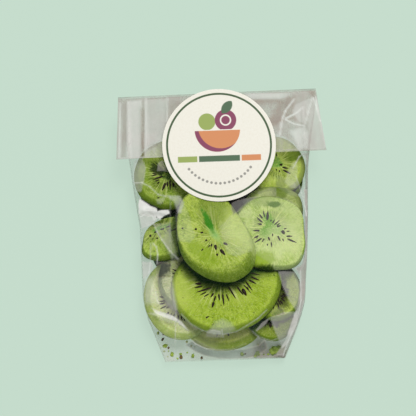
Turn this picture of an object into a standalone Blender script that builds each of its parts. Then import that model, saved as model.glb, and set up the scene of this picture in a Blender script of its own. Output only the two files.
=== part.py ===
"""A clear film bag of kiwi chips, folded over at the top and shut with a round paper label.

The bag lies on its back: X runs across it, Y towards its folded top, and Z out of its shown face. The origin is
on the surface that it lies on, under the middle of its outline. The bag is one solid, and the chips inside it
are laid one on another by a rule, so that the film over them has their true bumps. Sizes are in metres.
"""

import math
from collections import namedtuple

import bmesh
import bpy
import numpy as np
from mathutils import Matrix, Vector

MM = 0.001

# The driving sizes. The label is a standard 50 mm round sticker, and everything else is scaled from it.
LABEL_RADIUS = 25 * MM
LABEL_THICKNESS = 0.5 * MM
LABEL_TILT = math.radians(11.5)
HALF_LENGTH = 60.9 * MM
FOLD_Y = 59.3 * MM  # the bag's upper end, where the film is flattened and folded over
FOLD_Z = 22.4 * MM
NECK_GAP = 1.3 * MM  # between the front and the back film at the fold
# How far the left and the right side stand out, at places along the bag (mm). Below about y = -35 the folds of
# the block bottom draw both sides in.
SIDE_PLACES = (-60.9, -55.2, -47.6, -41, -35, -30, -18.6, 0, 15, 25, 37, 49, 59.3)
LEFT_REACH = (28.8, 30.8, 33.4, 35.6, 37, 37.4, 37.4, 37.2, 38.6, 39.6, 42, 43.8, 44.8)
RIGHT_REACH = (26.2, 28.5, 31.5, 33.8, 35.5, 36, 36.7, 37.8, 38.6, 39, 40.6, 42.2, 42.8)
FOOT_HEIGHT = 9.5 * MM
SIDE_BULGE = 1.8 * MM
CORNER_HEIGHT = 20.5 * MM  # the least height of the crease between the front and each side
CREASE_BAND = 7 * MM  # chips this near to a side lift its crease
BACK_LIFT_Y = 32.1 * MM  # above this the back film leaves the table and rises to the fold
HEM_ROUND = 1.4 * MM  # how far the back film lifts at its side creases

FLAP_LENGTH = 27.5 * MM
FLAP_HALF_WIDTH = 46.4 * MM  # at its free edge, which is wider than the fold
FLAP_THICKNESS = 0.9 * MM
FLAP_CLEARANCE = 0.5 * MM
FLAP_DROOP = 1.6 * MM  # how far its two ends hang below its middle
FOLD_SKEW = 0.01  # of x, how much farther up the fold lies at the right, as it was folded a little askew

FILM_CLEARANCE = 0.5 * MM  # between the chips and the film over them
TABLE_CLEARANCE = 0.5 * MM

# The film is a grid: columns across the front and the back, and rings along the bag.
FRONT_COLUMNS = 38
BACK_COLUMNS = 12
SIDE_STEPS = 4
RINGS = 58
MAP_CELL = 1 * MM  # of the map of how high the chips reach

# Each chip: the middle of its outline, its half length, half width and thickness (mm), the turn of its length
# from X, the angle that it leans by and the direction that its face then leans towards (degrees). They are
# laid in this order, each one resting on those before it.
Chip = namedtuple("Chip", "name x y half_length half_width thickness turn lean towards")
CHIPS = (
    Chip("back_low_left", -21, -39, 12.5, 11.5, 4.6, 60, 0, 0),
    Chip("back_low_right", 22, -27, 13, 12, 4.6, -60, 0, 0),
    Chip("back_left", -22, -11, 13.5, 12.5, 4.6, 0, 0, 0),
    Chip("back_middle", 2, -14, 11.5, 13.5, 4.6, 0, 0, 0),
    Chip("back_upper", 0, 14, 14, 13, 4.6, 0, 0, 0),
    Chip("back_right", 25, 4, 11.5, 13.5, 4.6, 0, 0, 0),
    Chip("back_top_left", -22, 33, 13, 12, 4.6, 80, 10, 90),
    Chip("back_top_right", 20, 33, 13, 12, 4.6, 80, 10, 90),
    Chip("second_top_left", -25, 16, 12.5, 12, 4.6, 80, 4, 90),
    Chip("second_top_right", 24, 20, 12, 12.5, 4.6, 80, 4, 90),
    Chip("second_top", 1, 34, 13, 12, 4.6, 10, 8, 90),
    Chip("foot", -1.6, -41.2, 19, 15.1, 5.4, -2, 7, 95),
    Chip("low_left_outer", -21.3, -32.6, 17.8, 15.2, 5.4, 106, 8, 60),
    Chip("low_right_lower", 18.6, -40, 13.2, 10.8, 5.4, 122, 9, 110),
    Chip("low_right_upper", 21.5, -29.6, 12.1, 13.8, 5.4, 17, 8, 130),
    Chip("low_left_inner", -16.2, -21.9, 15.5, 13.5, 5.4, 70, 9, 50),
    Chip("left_edge", -22.8, -5, 14.2, 9.4, 6.4, 26, 16, 150),
    Chip("under_label", -3, 25, 15.2, 14.2, 5.4, 0, 4, 90),
    Chip("big", 0.2, -26.3, 24.6, 20.9, 6.4, 13, 7, 92),
    Chip("top_right", 23.4, 26.2, 14, 12.6, 5.4, -30, 6, 100),
    Chip("top_left", -23.9, 23.4, 15.7, 14.8, 5.4, 61, 6, 75),
    Chip("right_rear", 21.7, 3.3, 14.5, 12.6, 5.4, 37, 3, 80),
    Chip("right", 20.2, -4.1, 15.9, 17.6, 6.2, 36, 9, 100),
    Chip("middle", -4.3, -6.4, 21, 15.3, 6.8, -57, 17, 78),
)
# A chip settles until this share of its underside has met the chips below, as their edges give a little.
SETTLED_SHARE = 0.06


def smooth_step(value):
    """0 below 0 and 1 above 1, with an even curve between them."""
    held = np.clip(value, 0, 1)
    return held * held * (3 - 2 * held)


# The bag's outline and edges, each as a function of y.


def side_reach(y):
    """How far the left and the right side stand out from the middle line."""
    places = np.array(SIDE_PLACES) * MM
    return [np.interp(y, places, np.array(reach) * MM) for reach in (LEFT_REACH, RIGHT_REACH)]


def corner_height(y):
    """The height of the crease between the front film and each side."""
    foot = smooth_step((y + HALF_LENGTH) / (24 * MM))
    top = smooth_step((y - 20 * MM) / (FOLD_Y - 20 * MM))
    lower = FOOT_HEIGHT - 1.5 * MM
    return lower + (CORNER_HEIGHT - lower) * foot + (FOLD_Z - CORNER_HEIGHT) * top


def back_height(y):
    """The height of the back film: flat on the table, then rising to the fold."""
    return (FOLD_Z - NECK_GAP) * np.clip((y - BACK_LIFT_Y) / (FOLD_Y - BACK_LIFT_Y), 0, 1) ** 1.3


def side_inset(y):
    """How far in from the outline the side creases lie. It closes to nothing where the bag is flat at the fold."""
    return SIDE_BULGE * (1 - smooth_step((y - 30 * MM) / (FOLD_Y - 30 * MM)))


def fold_skew(x, y):
    """How far up a point moves because the top was folded askew. The filled body below it stays square."""
    return FOLD_SKEW * x * float(smooth_step((y - 21 * MM) / (FOLD_Y - 21 * MM)))


# The chips, and how they lie on each other.


def chip_turn(chip):
    """The rotation that takes a chip's own axes to the bag's."""
    lean, towards, turn = (math.radians(v) for v in (chip.lean, chip.towards, chip.turn))
    hinge = Vector((-math.sin(towards), math.cos(towards), 0))
    return np.array(Matrix.Rotation(lean, 3, hinge) @ Matrix.Rotation(turn, 3, "Z"))


def chip_skin(chip):
    """Points of a chip's upper and its lower skin, about its middle: a thick disc with well-rounded edges."""
    ring, angle = np.meshgrid(np.sqrt(np.linspace(0, 1, 40)), np.linspace(0, 2 * math.pi, 160))
    half = chip.thickness * MM / 2 * np.sqrt(np.clip(1 - ring**5, 0, 1))
    x = chip.half_length * MM * ring * np.cos(angle)
    y = chip.half_width * MM * ring * np.sin(angle)
    turn = chip_turn(chip)
    return [np.stack([x, y, side * half], axis=-1).reshape(-1, 3) @ turn.T for side in (1, -1)]


class ReachMap:
    """How high the chips laid so far reach, in square cells over the bag's outline."""

    def __init__(self):
        columns = int(2 * FLAP_HALF_WIDTH / MAP_CELL) + 3
        rows = int(2 * HALF_LENGTH / MAP_CELL) + 3
        self.low = np.array([-FLAP_HALF_WIDTH - MAP_CELL, -HALF_LENGTH - MAP_CELL])
        self.height = np.full((rows, columns), TABLE_CLEARANCE)

    def cells(self, x, y):
        column = np.clip(((x - self.low[0]) / MAP_CELL).astype(int), 0, self.height.shape[1] - 1)
        row = np.clip(((y - self.low[1]) / MAP_CELL).astype(int), 0, self.height.shape[0] - 1)
        return row, column

    def lay(self, chip):
        """Lowers a chip until it has settled on what lies below it. Returns the height of its middle."""
        upper, lower = chip_skin(chip)
        place = np.array([chip.x * MM, chip.y * MM, 0])
        upper, lower = upper + place, lower + place
        touch = self.height[self.cells(lower[:, 0], lower[:, 1])] - lower[:, 2]
        rest = np.percentile(touch, 100 * (1 - SETTLED_SHARE))
        np.maximum.at(self.height, self.cells(upper[:, 0], upper[:, 1]), upper[:, 2] + rest)
        return rest

    def reach(self, x, y):
        """The highest reach in the cell at each point and in the cells round it."""
        row, column = self.cells(x, y)
        around = [(r, c) for r in (-1, 0, 1) for c in (-1, 0, 1)]
        most = [self.height.shape[0] - 1, self.height.shape[1] - 1]
        near = [
            self.height[np.clip(row + r, 0, most[0]), np.clip(column + c, 0, most[1])]
            for r, c in around
        ]
        return np.max(near, axis=0)


# The film over them.


def taut_film(start, least):
    """Draws a grid of heights taut between its fixed edges and the least heights that it has to clear."""
    height = np.maximum(start, least)
    height[[0, -1], :], height[:, [0, -1]] = start[[0, -1], :], start[:, [0, -1]]
    for _ in range(2500):
        across = height[1:-1, :-2] + height[1:-1, 2:]
        along = height[:-2, 1:-1] + height[2:, 1:-1]
        height[1:-1, 1:-1] = np.maximum((across + along) / 4, least[1:-1, 1:-1])
    return height


def even_out(values):
    """A line of values with its sudden steps drawn out along it."""
    for _ in range(6):
        values = (np.roll(values, 1) + 2 * values + np.roll(values, -1)) / 4
    return values


def lifted_creases(reach, y, sides):
    """The heights of the two side creases: as drawn, and lifted where chips lie close beside them."""
    creases = []
    for side in sides:
        near = side[:, None] * (1 - np.linspace(0.02, CREASE_BAND / np.abs(side).max(), 5)[None, :])
        lift = reach.reach(near, np.repeat(y[:, None], 5, axis=1)).max(axis=1) - corner_height(y) - 2 * MM
        ends = smooth_step((y + HALF_LENGTH) / (8 * MM)) * smooth_step((FOLD_Y - y) / (12 * MM))
        creases.append(corner_height(y) + even_out(np.clip(lift, 0, 6 * MM) * ends))
    return creases


def front_grid(reach):
    """The front film as arrays of x, y and z: one row for each ring, one column for each line along the bag."""
    y = np.linspace(-HALF_LENGTH, FOLD_Y, RINGS)
    left, right = (side - side_inset(y) for side in side_reach(y))
    share = np.linspace(0, 1, FRONT_COLUMNS)
    x = -left[:, None] * (1 - share[None, :]) + right[:, None] * share[None, :]
    left_crease, right_crease = lifted_creases(reach, y, (-left, right))
    start = left_crease[:, None] * (1 - share[None, :]) + right_crease[:, None] * share[None, :]
    start[0] = FOOT_HEIGHT - 1.5 * MM * np.abs(2 * share - 1) ** 3
    y = np.repeat(y[:, None], FRONT_COLUMNS, axis=1)
    inside = smooth_step(np.minimum(share, 1 - share) * 24)
    least = (reach.reach(x, y) + FILM_CLEARANCE) * inside[None, :]
    return x, y, taut_film(start, least)


def side_points(y, edge, crease, outwards):
    """The points of one side, from its crease down to the back film."""
    inset = float(side_inset(y))
    down = np.arange(1, SIDE_STEPS + 1) / (SIDE_STEPS + 1)
    x = edge + outwards * inset * np.sin(math.pi * down)
    z = crease + (back_height(y) + HEM_ROUND * inset / SIDE_BULGE - crease) * down
    return [(px, y, pz) for px, pz in zip(x, z, strict=True)]


def ring_points(x, y, z):
    """The closed loop of points round the bag at one ring, from the front film's left edge."""
    front = [(px, y, pz) for px, pz in zip(x, z, strict=True)]
    share = np.linspace(1, -1, BACK_COLUMNS)
    middle, half = (x[-1] + x[0]) / 2, (x[-1] - x[0]) / 2
    lift = back_height(y) + HEM_ROUND * side_inset(y) / SIDE_BULGE * np.abs(share) ** 8
    back = [(px, y, pz) for px, pz in zip(middle + half * share, lift, strict=True)]
    left = side_points(y, x[0], z[0], -1)
    return front + side_points(y, x[-1], z[-1], 1) + back + left[::-1]


def add_object(name, mesh, material):
    """Links a new object that holds the mesh and the material."""
    mesh.materials.append(material)
    made = bpy.data.objects.new(name, mesh)
    bpy.context.scene.collection.objects.link(made)
    return made


def plain_material(name, colour, roughness):
    """A Principled material of one colour."""
    material = bpy.data.materials.new(name)
    material.use_nodes = True
    surface = material.node_tree.nodes["Principled BSDF"]
    surface.inputs["Base Color"].default_value = (*colour, 1)
    surface.inputs["Roughness"].default_value = roughness
    return material


def body_mesh(front):
    """The shut bag without its flap: the rings joined into one closed skin."""
    build = bmesh.new()
    rings = [
        [build.verts.new((px, py + fold_skew(px, py), pz)) for px, py, pz in ring_points(x, float(y[0]), z)]
        for x, y, z in zip(*front, strict=True)
    ]
    count = len(rings[0])
    for lower, upper in zip(rings, rings[1:], strict=False):
        for i in range(count):
            after = (i + 1) % count
            build.faces.new((lower[i], lower[after], upper[after], upper[i]))
    build.faces.new(rings[0])
    build.faces.new(reversed(rings[-1]))
    bmesh.ops.recalc_face_normals(build, faces=build.faces)
    mesh = bpy.data.meshes.new("bag")
    build.to_mesh(mesh)
    build.free()
    return mesh


def front_under(front, x, y):
    """The height of the front film at one place, and the highest for a cell round it."""
    grid_x, grid_y, grid_z = front
    row = int(np.clip(np.searchsorted(grid_y[:, 0], y), 1, RINGS - 1))
    low, high = grid_x[row, 0], grid_x[row, -1]
    column = np.clip((x - low) / (high - low) * (FRONT_COLUMNS - 1), 0, FRONT_COLUMNS - 1)
    left, right = int(math.floor(column)), int(math.ceil(column))
    return float(grid_z[row - 1 : row + 1, left : right + 1].max())


def flap_slope(front):
    """The gentlest slope that carries the flap from the fold over the front film."""
    steepest = 0.0
    for down in np.linspace(0.15, 1, 12) * FLAP_LENGTH:
        for x in np.linspace(-0.75, 0.75, 25) * FLAP_HALF_WIDTH:
            rise = front_under(front, x, FOLD_Y - down) + FLAP_CLEARANCE - FOLD_Z
            steepest = max(steepest, rise / down)
    return steepest


def flap_height(x, down, slope):
    """The height of the flap's lower face, a distance down from the fold. Its free ends droop."""
    lift = FLAP_CLEARANCE * smooth_step(down / (2 * MM))
    end = np.clip((abs(x) - 30 * MM) / (FLAP_HALF_WIDTH - 30 * MM), 0, 1)
    return FOLD_Z - FLAP_THICKNESS / 2 + lift + slope * down - FLAP_DROOP * end**2 * down / FLAP_LENGTH


def flap_mesh(slope):
    """The folded-over top of the bag, as a sheet that Solidify gives its thickness."""
    build = bmesh.new()
    across, along = 24, 9
    rows = []
    for j in range(along + 1):
        share = j / along
        down = FLAP_LENGTH * share
        left, right = (float(fold + (FLAP_HALF_WIDTH - fold) * share) for fold in side_reach(FOLD_Y))
        places = [-left + (left + right) * i / across for i in range(across + 1)]
        heights = [flap_height(x, down, slope) for x in places]
        rows.append([
            build.verts.new((x, FOLD_Y - down + FOLD_SKEW * x, z)) for x, z in zip(places, heights, strict=True)
        ])
    for upper, lower in zip(rows, rows[1:], strict=False):
        for i in range(across):
            build.faces.new((upper[i], lower[i], lower[i + 1], upper[i + 1]))
    mesh = bpy.data.meshes.new("flap")
    build.to_mesh(mesh)
    build.free()
    return mesh


def add_bag(front, slope):
    """The bag as one solid: its body, joined to the flap along the fold."""
    film = plain_material("clear_film", (0.58, 0.68, 0.34), 0.25)
    bag = add_object("bag", body_mesh(front), film)
    bag.data.shade_smooth()
    flap = add_object("flap_form", flap_mesh(slope), film)
    flap.hide_render = True
    flap.display_type = "WIRE"
    thick = flap.modifiers.new("thickness", "SOLIDIFY")
    thick.thickness = FLAP_THICKNESS
    thick.offset = 1
    join = bag.modifiers.new("flap", "BOOLEAN")
    join.operation = "UNION"
    join.solver = "EXACT"
    join.object = flap
    return bag


def label_base(front, slope, middle_y):
    """The least height of the label's middle that keeps its tilted disc clear of the flap and the film."""
    least = 0.0
    for radius in np.linspace(0, LABEL_RADIUS, 12):
        for angle in np.linspace(0, 2 * math.pi, 48, endpoint=False):
            x, along = radius * math.cos(angle), radius * math.sin(angle)
            y = middle_y + along * math.cos(LABEL_TILT)
            down = FOLD_Y - y
            under = front_under(front, x, y)
            if 0 <= down <= FLAP_LENGTH + MM:
                under = max(under, flap_height(x, down, slope) + FLAP_THICKNESS)
            least = max(least, under + 0.35 * MM + along * math.sin(LABEL_TILT))
    return least


def add_label(front, slope):
    """The round paper label over the flap's middle and the front film."""
    middle_y = HALF_LENGTH - LABEL_RADIUS * math.cos(LABEL_TILT)
    build = bmesh.new()
    rim = bmesh.ops.create_circle(build, cap_ends=True, radius=LABEL_RADIUS, segments=72)["verts"]
    place = Matrix.Translation((0, middle_y, label_base(front, slope, middle_y)))
    bmesh.ops.transform(build, matrix=place @ Matrix.Rotation(-LABEL_TILT, 4, "X"), verts=rim)
    mesh = bpy.data.meshes.new("label")
    build.to_mesh(mesh)
    build.free()
    label = add_object("label", mesh, plain_material("cream_paper", (0.88, 0.85, 0.76), 0.6))
    thick = label.modifiers.new("thickness", "SOLIDIFY")
    thick.thickness = LABEL_THICKNESS
    thick.offset = 1
    return label


def main():
    """Clears the scene, lays the chips, and makes the bag over them and its label."""
    for old in list(bpy.data.objects):
        bpy.data.objects.remove(old)
    reach = ReachMap()
    for chip in CHIPS:
        middle = reach.lay(chip)
        print(f"{chip.name:16s} middle at {middle / MM:5.1f} mm")
    front = front_grid(reach)
    slope = flap_slope(front)
    print(f"the film reaches {front[2].max() / MM:.1f} mm")
    print(f"the flap slopes {math.degrees(math.atan(slope)):.1f} degrees")
    add_bag(front, slope)
    add_label(front, slope)


main()
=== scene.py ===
# %% [markdown]
# # A clear bag of kiwi chips
#
# The object is a small film bag that lies on its back. Its top is folded over to the front and held by a
# round paper label. Inside are dried slices of kiwi, which lie on each other like roof tiles. We look
# straight down on it.
#
# A bag like this is three jobs. The slices come first, because the film lies on them. Then the film is
# drawn taut over them, and last the label goes on top. All sizes are in metres, and MM turns millimetres
# into metres.

# %% Load the frame
import math
import random
from collections import namedtuple

import bmesh
import bpy
import numpy as np
from mathutils import Matrix, Vector, noise
from mathutils.bvhtree import BVHTree


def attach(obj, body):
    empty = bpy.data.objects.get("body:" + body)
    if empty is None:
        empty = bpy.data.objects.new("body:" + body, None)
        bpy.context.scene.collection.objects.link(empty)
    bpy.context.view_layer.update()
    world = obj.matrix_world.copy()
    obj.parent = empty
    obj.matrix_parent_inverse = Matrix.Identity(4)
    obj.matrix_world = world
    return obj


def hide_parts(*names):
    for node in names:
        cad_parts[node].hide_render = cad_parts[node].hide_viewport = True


MM = 0.001
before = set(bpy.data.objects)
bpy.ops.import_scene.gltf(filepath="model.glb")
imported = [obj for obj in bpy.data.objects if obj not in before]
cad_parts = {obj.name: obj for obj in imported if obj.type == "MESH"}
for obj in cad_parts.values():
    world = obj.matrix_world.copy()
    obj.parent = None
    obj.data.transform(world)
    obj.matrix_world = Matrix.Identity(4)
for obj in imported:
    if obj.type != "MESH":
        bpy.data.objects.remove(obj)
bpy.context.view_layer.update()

# %% [markdown]
# ## Camera, floor and light
#
# The photograph looks straight at the bag's front from well away, so a long lens 0.7 m above it gives the
# same flat view. The bag leans 2 degrees in the picture, so the camera is rolled by as much. A large soft
# lamp beyond the bag's top gives each slice a shadow on the one below it, and a bright world keeps those
# shadows open.

# %% Camera
camera_data = bpy.data.cameras.new("camera")
camera_data.sensor_width = 36
camera_data.lens = 132.4
camera = bpy.data.objects.new("camera", camera_data)
camera.location = (-6.71 * MM, 8.25 * MM, 0.7)
camera.rotation_euler = (0, 0, math.radians(-2.0))
bpy.context.scene.collection.objects.link(camera)
bpy.context.scene.camera = camera
bpy.context.scene.view_settings.view_transform = "Standard"
print("camera", tuple(camera.location), "lens", camera_data.lens)


# %% Helpers for colours and materials
def from_screen(red, green, blue):
    """A colour given as the 0 to 255 values of a screen, as the linear values that shaders use."""
    values = [v / 255 for v in (red, green, blue)]
    return tuple(v / 12.92 if v <= 0.04045 else ((v + 0.055) / 1.055) ** 2.4 for v in values) + (1,)


def new_material(name):
    """A material with its node tree, and the Principled shader in it."""
    material = bpy.data.materials.new(name)
    material.use_nodes = True
    return material, material.node_tree, material.node_tree.nodes["Principled BSDF"]


def fill(node, **inputs):
    """Gives a node's inputs their values or sockets. An input is named, with _ for a space, or numbered."""
    for key, value in inputs.items():
        numbered = key[0] == "i" and key[1:].isdigit()
        socket = node.inputs[int(key[1:]) if numbered else key.replace("_", " ")]
        if isinstance(value, bpy.types.NodeSocket):
            node.id_data.links.new(value, socket)
        else:
            socket.default_value = value
    return node


# %% Floor
bpy.ops.mesh.primitive_plane_add(size=6, location=(0, 0, -0.2 * MM))
floor = bpy.context.object
floor.name = "floor"
floor_material, _, floor_shader = new_material("floor_mint")
MINT = from_screen(198, 221, 205)
GLOW = 0.82  # of the floor's brightness is its own, which keeps shadows on it faint
LIT_SHARE = 1.03 * (1 - GLOW)  # of the mint is what the lamp and the sky have to light
LIT_MINT = (*(LIT_SHARE * v for v in MINT[:3]), 1)
fill(floor_shader, Base_Color=LIT_MINT, Emission_Color=MINT, Emission_Strength=GLOW)
fill(floor_shader, Roughness=0.9, Specular_IOR_Level=0.1)
floor.data.materials.append(floor_material)
print("the floor is mint,", tuple(round(v, 2) for v in MINT[:3]))

# %% Light
KEY_PLACE = (0.3, 0.85, 2.0)
key_lamp = bpy.data.lights.new("key", "AREA")
key_lamp.size = 0.6
key_lamp.energy = 28
key = bpy.data.objects.new("key", key_lamp)
key.location = KEY_PLACE
key.rotation_euler = (-Vector(KEY_PLACE)).to_track_quat("-Z", "Y").to_euler()
bpy.context.scene.collection.objects.link(key)
world = bpy.data.worlds.new("world")
world.use_nodes = True
fill(world.node_tree.nodes["Background"], Color=(1.0, 1.0, 0.98, 1), Strength=0.4)
bpy.context.scene.world = world
print("the lamp is", round(Vector(KEY_PLACE).length, 2), "m from the bag")

# %% [markdown]
# ## The slices and how they lie
#
# Each slice is a thick disc with well-rounded edges. Laying two dozen of them by hand would be slow, and
# they would cut through each other. So each one gets only its place, its size and its lean, and a map of
# heights does the rest: a slice is lowered until it rests on those already laid, and then the map is
# raised to its top.

# %% The slices
# The middle of the outline, the half length, the half width and the thickness (mm), then the turn of the
# length from X, the angle that the slice leans by and the direction that its face leans towards (degrees).
Slice = namedtuple("Slice", "name x y half_length half_width thickness turn lean towards")
SLICES = [Slice(*row) for row in (
    ("back_low_left", -21, -39, 12.5, 11.5, 4.6, 60, 0, 0),
    ("back_low_right", 20, -27, 13, 12, 4.6, -60, 0, 0),
    ("back_left", -20, -11, 13, 12.5, 4.6, 0, 0, 0),
    ("back_middle", 2, -14, 11.5, 13.5, 4.6, 0, 0, 0),
    ("back_upper", 0, 14, 14, 13, 4.6, 0, 0, 0),
    ("back_right", 24, 4, 11, 13.5, 4.6, 0, 0, 0),
    ("back_top_left", -22, 25, 8.5, 12, 4.6, 80, 10, 90),
    ("back_top_right", 20, 25, 8.5, 12, 4.6, 80, 10, 90),
    ("second_top_left", -25, 16, 12.5, 12, 4.6, 80, 4, 90),
    ("second_top_right", 24, 20, 12, 12.5, 4.6, 80, 4, 90),
    ("second_top", 1, 30, 13, 9.5, 4.6, 10, 8, 90),
    ("foot", -1.6, -41.2, 19, 15.1, 5.4, -2, 7, 95),
    ("low_left_outer", -21.3, -32.6, 17.8, 15.2, 5.4, 106, 8, 60),
    ("low_right_lower", 18.6, -40, 13.2, 10.8, 5.4, 122, 9, 110),
    ("low_right_upper", 21.5, -29.6, 12.1, 13.8, 5.4, 17, 8, 130),
    ("low_left_inner", -16.2, -21.9, 15.5, 13.5, 5.4, 70, 9, 50),
    ("left_edge", -22.8, -5, 14.2, 9.4, 6.4, 26, 16, 150),
    ("under_label", -3, 25, 15.2, 14.2, 5.4, 0, 4, 90),
    ("big", 0.2, -26.3, 24.6, 20.9, 6.4, 13, 7, 92),
    ("top_right", 23.4, 26.2, 14, 12.6, 5.4, -30, 6, 100),
    ("top_left", -23.9, 23.4, 15.7, 14.8, 5.4, 61, 6, 75),
    ("right_rear", 21.7, 3.3, 14.5, 12.6, 5.4, 37, 3, 80),
    ("right", 20.2, -4.1, 15.9, 17.6, 6.2, 36, 9, 100),
    ("middle", -4.3, -6.4, 21, 15.3, 6.8, -57, 17, 78),
)]
HALF_LENGTH = 60.9 * MM
FLAP_HALF_WIDTH = 46.4 * MM
TABLE_CLEARANCE = 0.5 * MM
TABLE_GAP = 0.15 * MM  # between the table and the lowest slices, whose undersides are pressed flat
SETTLED_SHARE = 0.06  # of a slice's underside has met the slices below when it has settled
MAP_CELL = 1 * MM


def smooth_step(value):
    """0 below 0 and 1 above 1, with an even curve between them."""
    held = np.clip(value, 0, 1)
    return held * held * (3 - 2 * held)


def slice_turn(item):
    """The rotation that takes a slice's own axes to the bag's."""
    lean, towards, turn = (math.radians(v) for v in (item.lean, item.towards, item.turn))
    hinge = Vector((-math.sin(towards), math.cos(towards), 0))
    return Matrix.Rotation(lean, 3, hinge) @ Matrix.Rotation(turn, 3, "Z")


def slice_skin(item):
    """Points of a slice's upper and its lower skin, about its middle."""
    ring, angle = np.meshgrid(np.sqrt(np.linspace(0, 1, 40)), np.linspace(0, 2 * math.pi, 160))
    half = item.thickness * MM / 2 * np.sqrt(np.clip(1 - ring**5, 0, 1))
    x = item.half_length * MM * ring * np.cos(angle)
    y = item.half_width * MM * ring * np.sin(angle)
    turn = np.array(slice_turn(item))
    return [np.stack([x, y, side * half], axis=-1).reshape(-1, 3) @ turn.T for side in (1, -1)]


class ReachMap:
    """How high the slices laid so far reach, in square cells over the bag's outline."""

    def __init__(self):
        columns = int(2 * FLAP_HALF_WIDTH / MAP_CELL) + 3
        rows = int(2 * HALF_LENGTH / MAP_CELL) + 3
        self.low = np.array([-FLAP_HALF_WIDTH - MAP_CELL, -HALF_LENGTH - MAP_CELL])
        self.height = np.full((rows, columns), TABLE_CLEARANCE)

    def cells(self, x, y):
        """The row and the column of the cell at each point."""
        column = np.clip(((x - self.low[0]) / MAP_CELL).astype(int), 0, self.height.shape[1] - 1)
        row = np.clip(((y - self.low[1]) / MAP_CELL).astype(int), 0, self.height.shape[0] - 1)
        return row, column

    def lay(self, item):
        """Lowers a slice until it has settled on what lies below it. Returns the height of its middle."""
        upper, lower = slice_skin(item)
        middle = np.array([item.x * MM, item.y * MM, 0])
        upper, lower = upper + middle, lower + middle
        touch = self.height[self.cells(lower[:, 0], lower[:, 1])] - lower[:, 2]
        rest = max(np.percentile(touch, 100 * (1 - SETTLED_SHARE)), TABLE_CLEARANCE - lower[:, 2].min())
        np.maximum.at(self.height, self.cells(upper[:, 0], upper[:, 1]), upper[:, 2] + rest)
        return rest

    def reach(self, x, y):
        """The highest reach in the cell at each point and in the cells round it."""
        row, column = self.cells(x, y)
        last = [self.height.shape[0] - 1, self.height.shape[1] - 1]
        near = [
            self.height[np.clip(row + r, 0, last[0]), np.clip(column + c, 0, last[1])]
            for r in (-1, 0, 1)
            for c in (-1, 0, 1)
        ]
        return np.max(near, axis=0)


reach = ReachMap()
laid = {}
for item in SLICES:
    rest = float(reach.lay(item))
    laid[item.name] = Matrix.Translation((item.x * MM, item.y * MM, rest)) @ slice_turn(item).to_4x4()
highest = max(m.translation.z for m in laid.values())
print("laid", len(laid), "slices, the highest middle at", round(highest / MM, 1), "mm")

# %% [markdown]
# ## Modelling one slice
#
# A dried slice isn't a flat coin. Its rim is rounded where the peel was cut away, its outline wavers, its
# face puckers along the rays that run out from the core, and the whole slice warps a little as it dries.
# A UV sphere has just the right mesh for this: its poles become the middles of the two faces, and its
# meridians become the rays. So one sphere is modelled, flattened into a master disc, and each slice is a
# copy of it that is shaped further.

# %% The master disc
MERIDIANS = 96
RINGS_TO_RIM = 20
FLAT_SHARE = 0.7  # of the rings lie on the flat face, and the rest turn round the rim

bpy.ops.object.select_all(action="DESELECT")
bpy.ops.mesh.primitive_uv_sphere_add(segments=MERIDIANS, ring_count=2 * RINGS_TO_RIM, radius=1)
master = bpy.context.object
master.name = "master_disc"


def disc_place(point):
    """A point of the unit sphere as its share of the way from pole to rim, its angle and its side."""
    from_pole = math.acos(min(1, abs(point.z))) / (math.pi / 2)
    side = 1 if point.z >= 0 else -1
    return from_pole, math.atan2(point.y, point.x), side


master_places = [disc_place(v.co) for v in master.data.vertices]
print("the master disc has", len(master.data.vertices), "points")

# %% Shape each slice
Shape = namedtuple("Shape", "rim corner saddle cup pucker dish seed shift outline")
# The rim's share of the radius, how square its profile is (1 is a chamfer and 2 is round), the warp of
# the whole slice (mm), how deep its rays pucker (mm), how far its seed ring sinks (mm), a number that
# makes its noise its own, how far the upper face lies off the middle of the outline (mm along X and Y),
# because a slice cut askew has a wide rim on one side, and the outline: how far out it lies at 12 even
# steps round it, as a share of the ellipse.
ROUND = (1,) * 12
WIDE = (1.02,) * 12
WIDER = (1.03,) * 12
MIDDLE_OUTLINE = (0.97, 1.02, 1.01, 0.96, 1.01, 1.04, 0.96, 0.9, 0.97, 1.03, 0.98, 0.95)
RIGHT_OUTLINE = (1.06, 1.0, 0.99, 1.0, 1.03, 1.01, 1.04, 1.0, 0.95, 1.05, 0.99, 0.93)
REAR_OUTLINE = (1.05, 1.0, 1.05, 1.12, 1.1, 1.05, 1.0, 1.0, 1.0, 1.0, 0.98, 1.01)
EDGE_OUTLINE = (1.0, 1.0, 0.95, 1.04, 1.15, 1.06, 1.08, 0.97, 0.9, 0.93, 1.0, 1.0)
TOP_LEFT_OUTLINE = (*WIDE[:6], 0.96, 1.01, *WIDE[8:])
PLAIN_SHAPE = Shape(0.1, 1.7, 0.5, 0.3, 0.16, 0.25, 0, (0.0, 0.6), ROUND)
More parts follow.
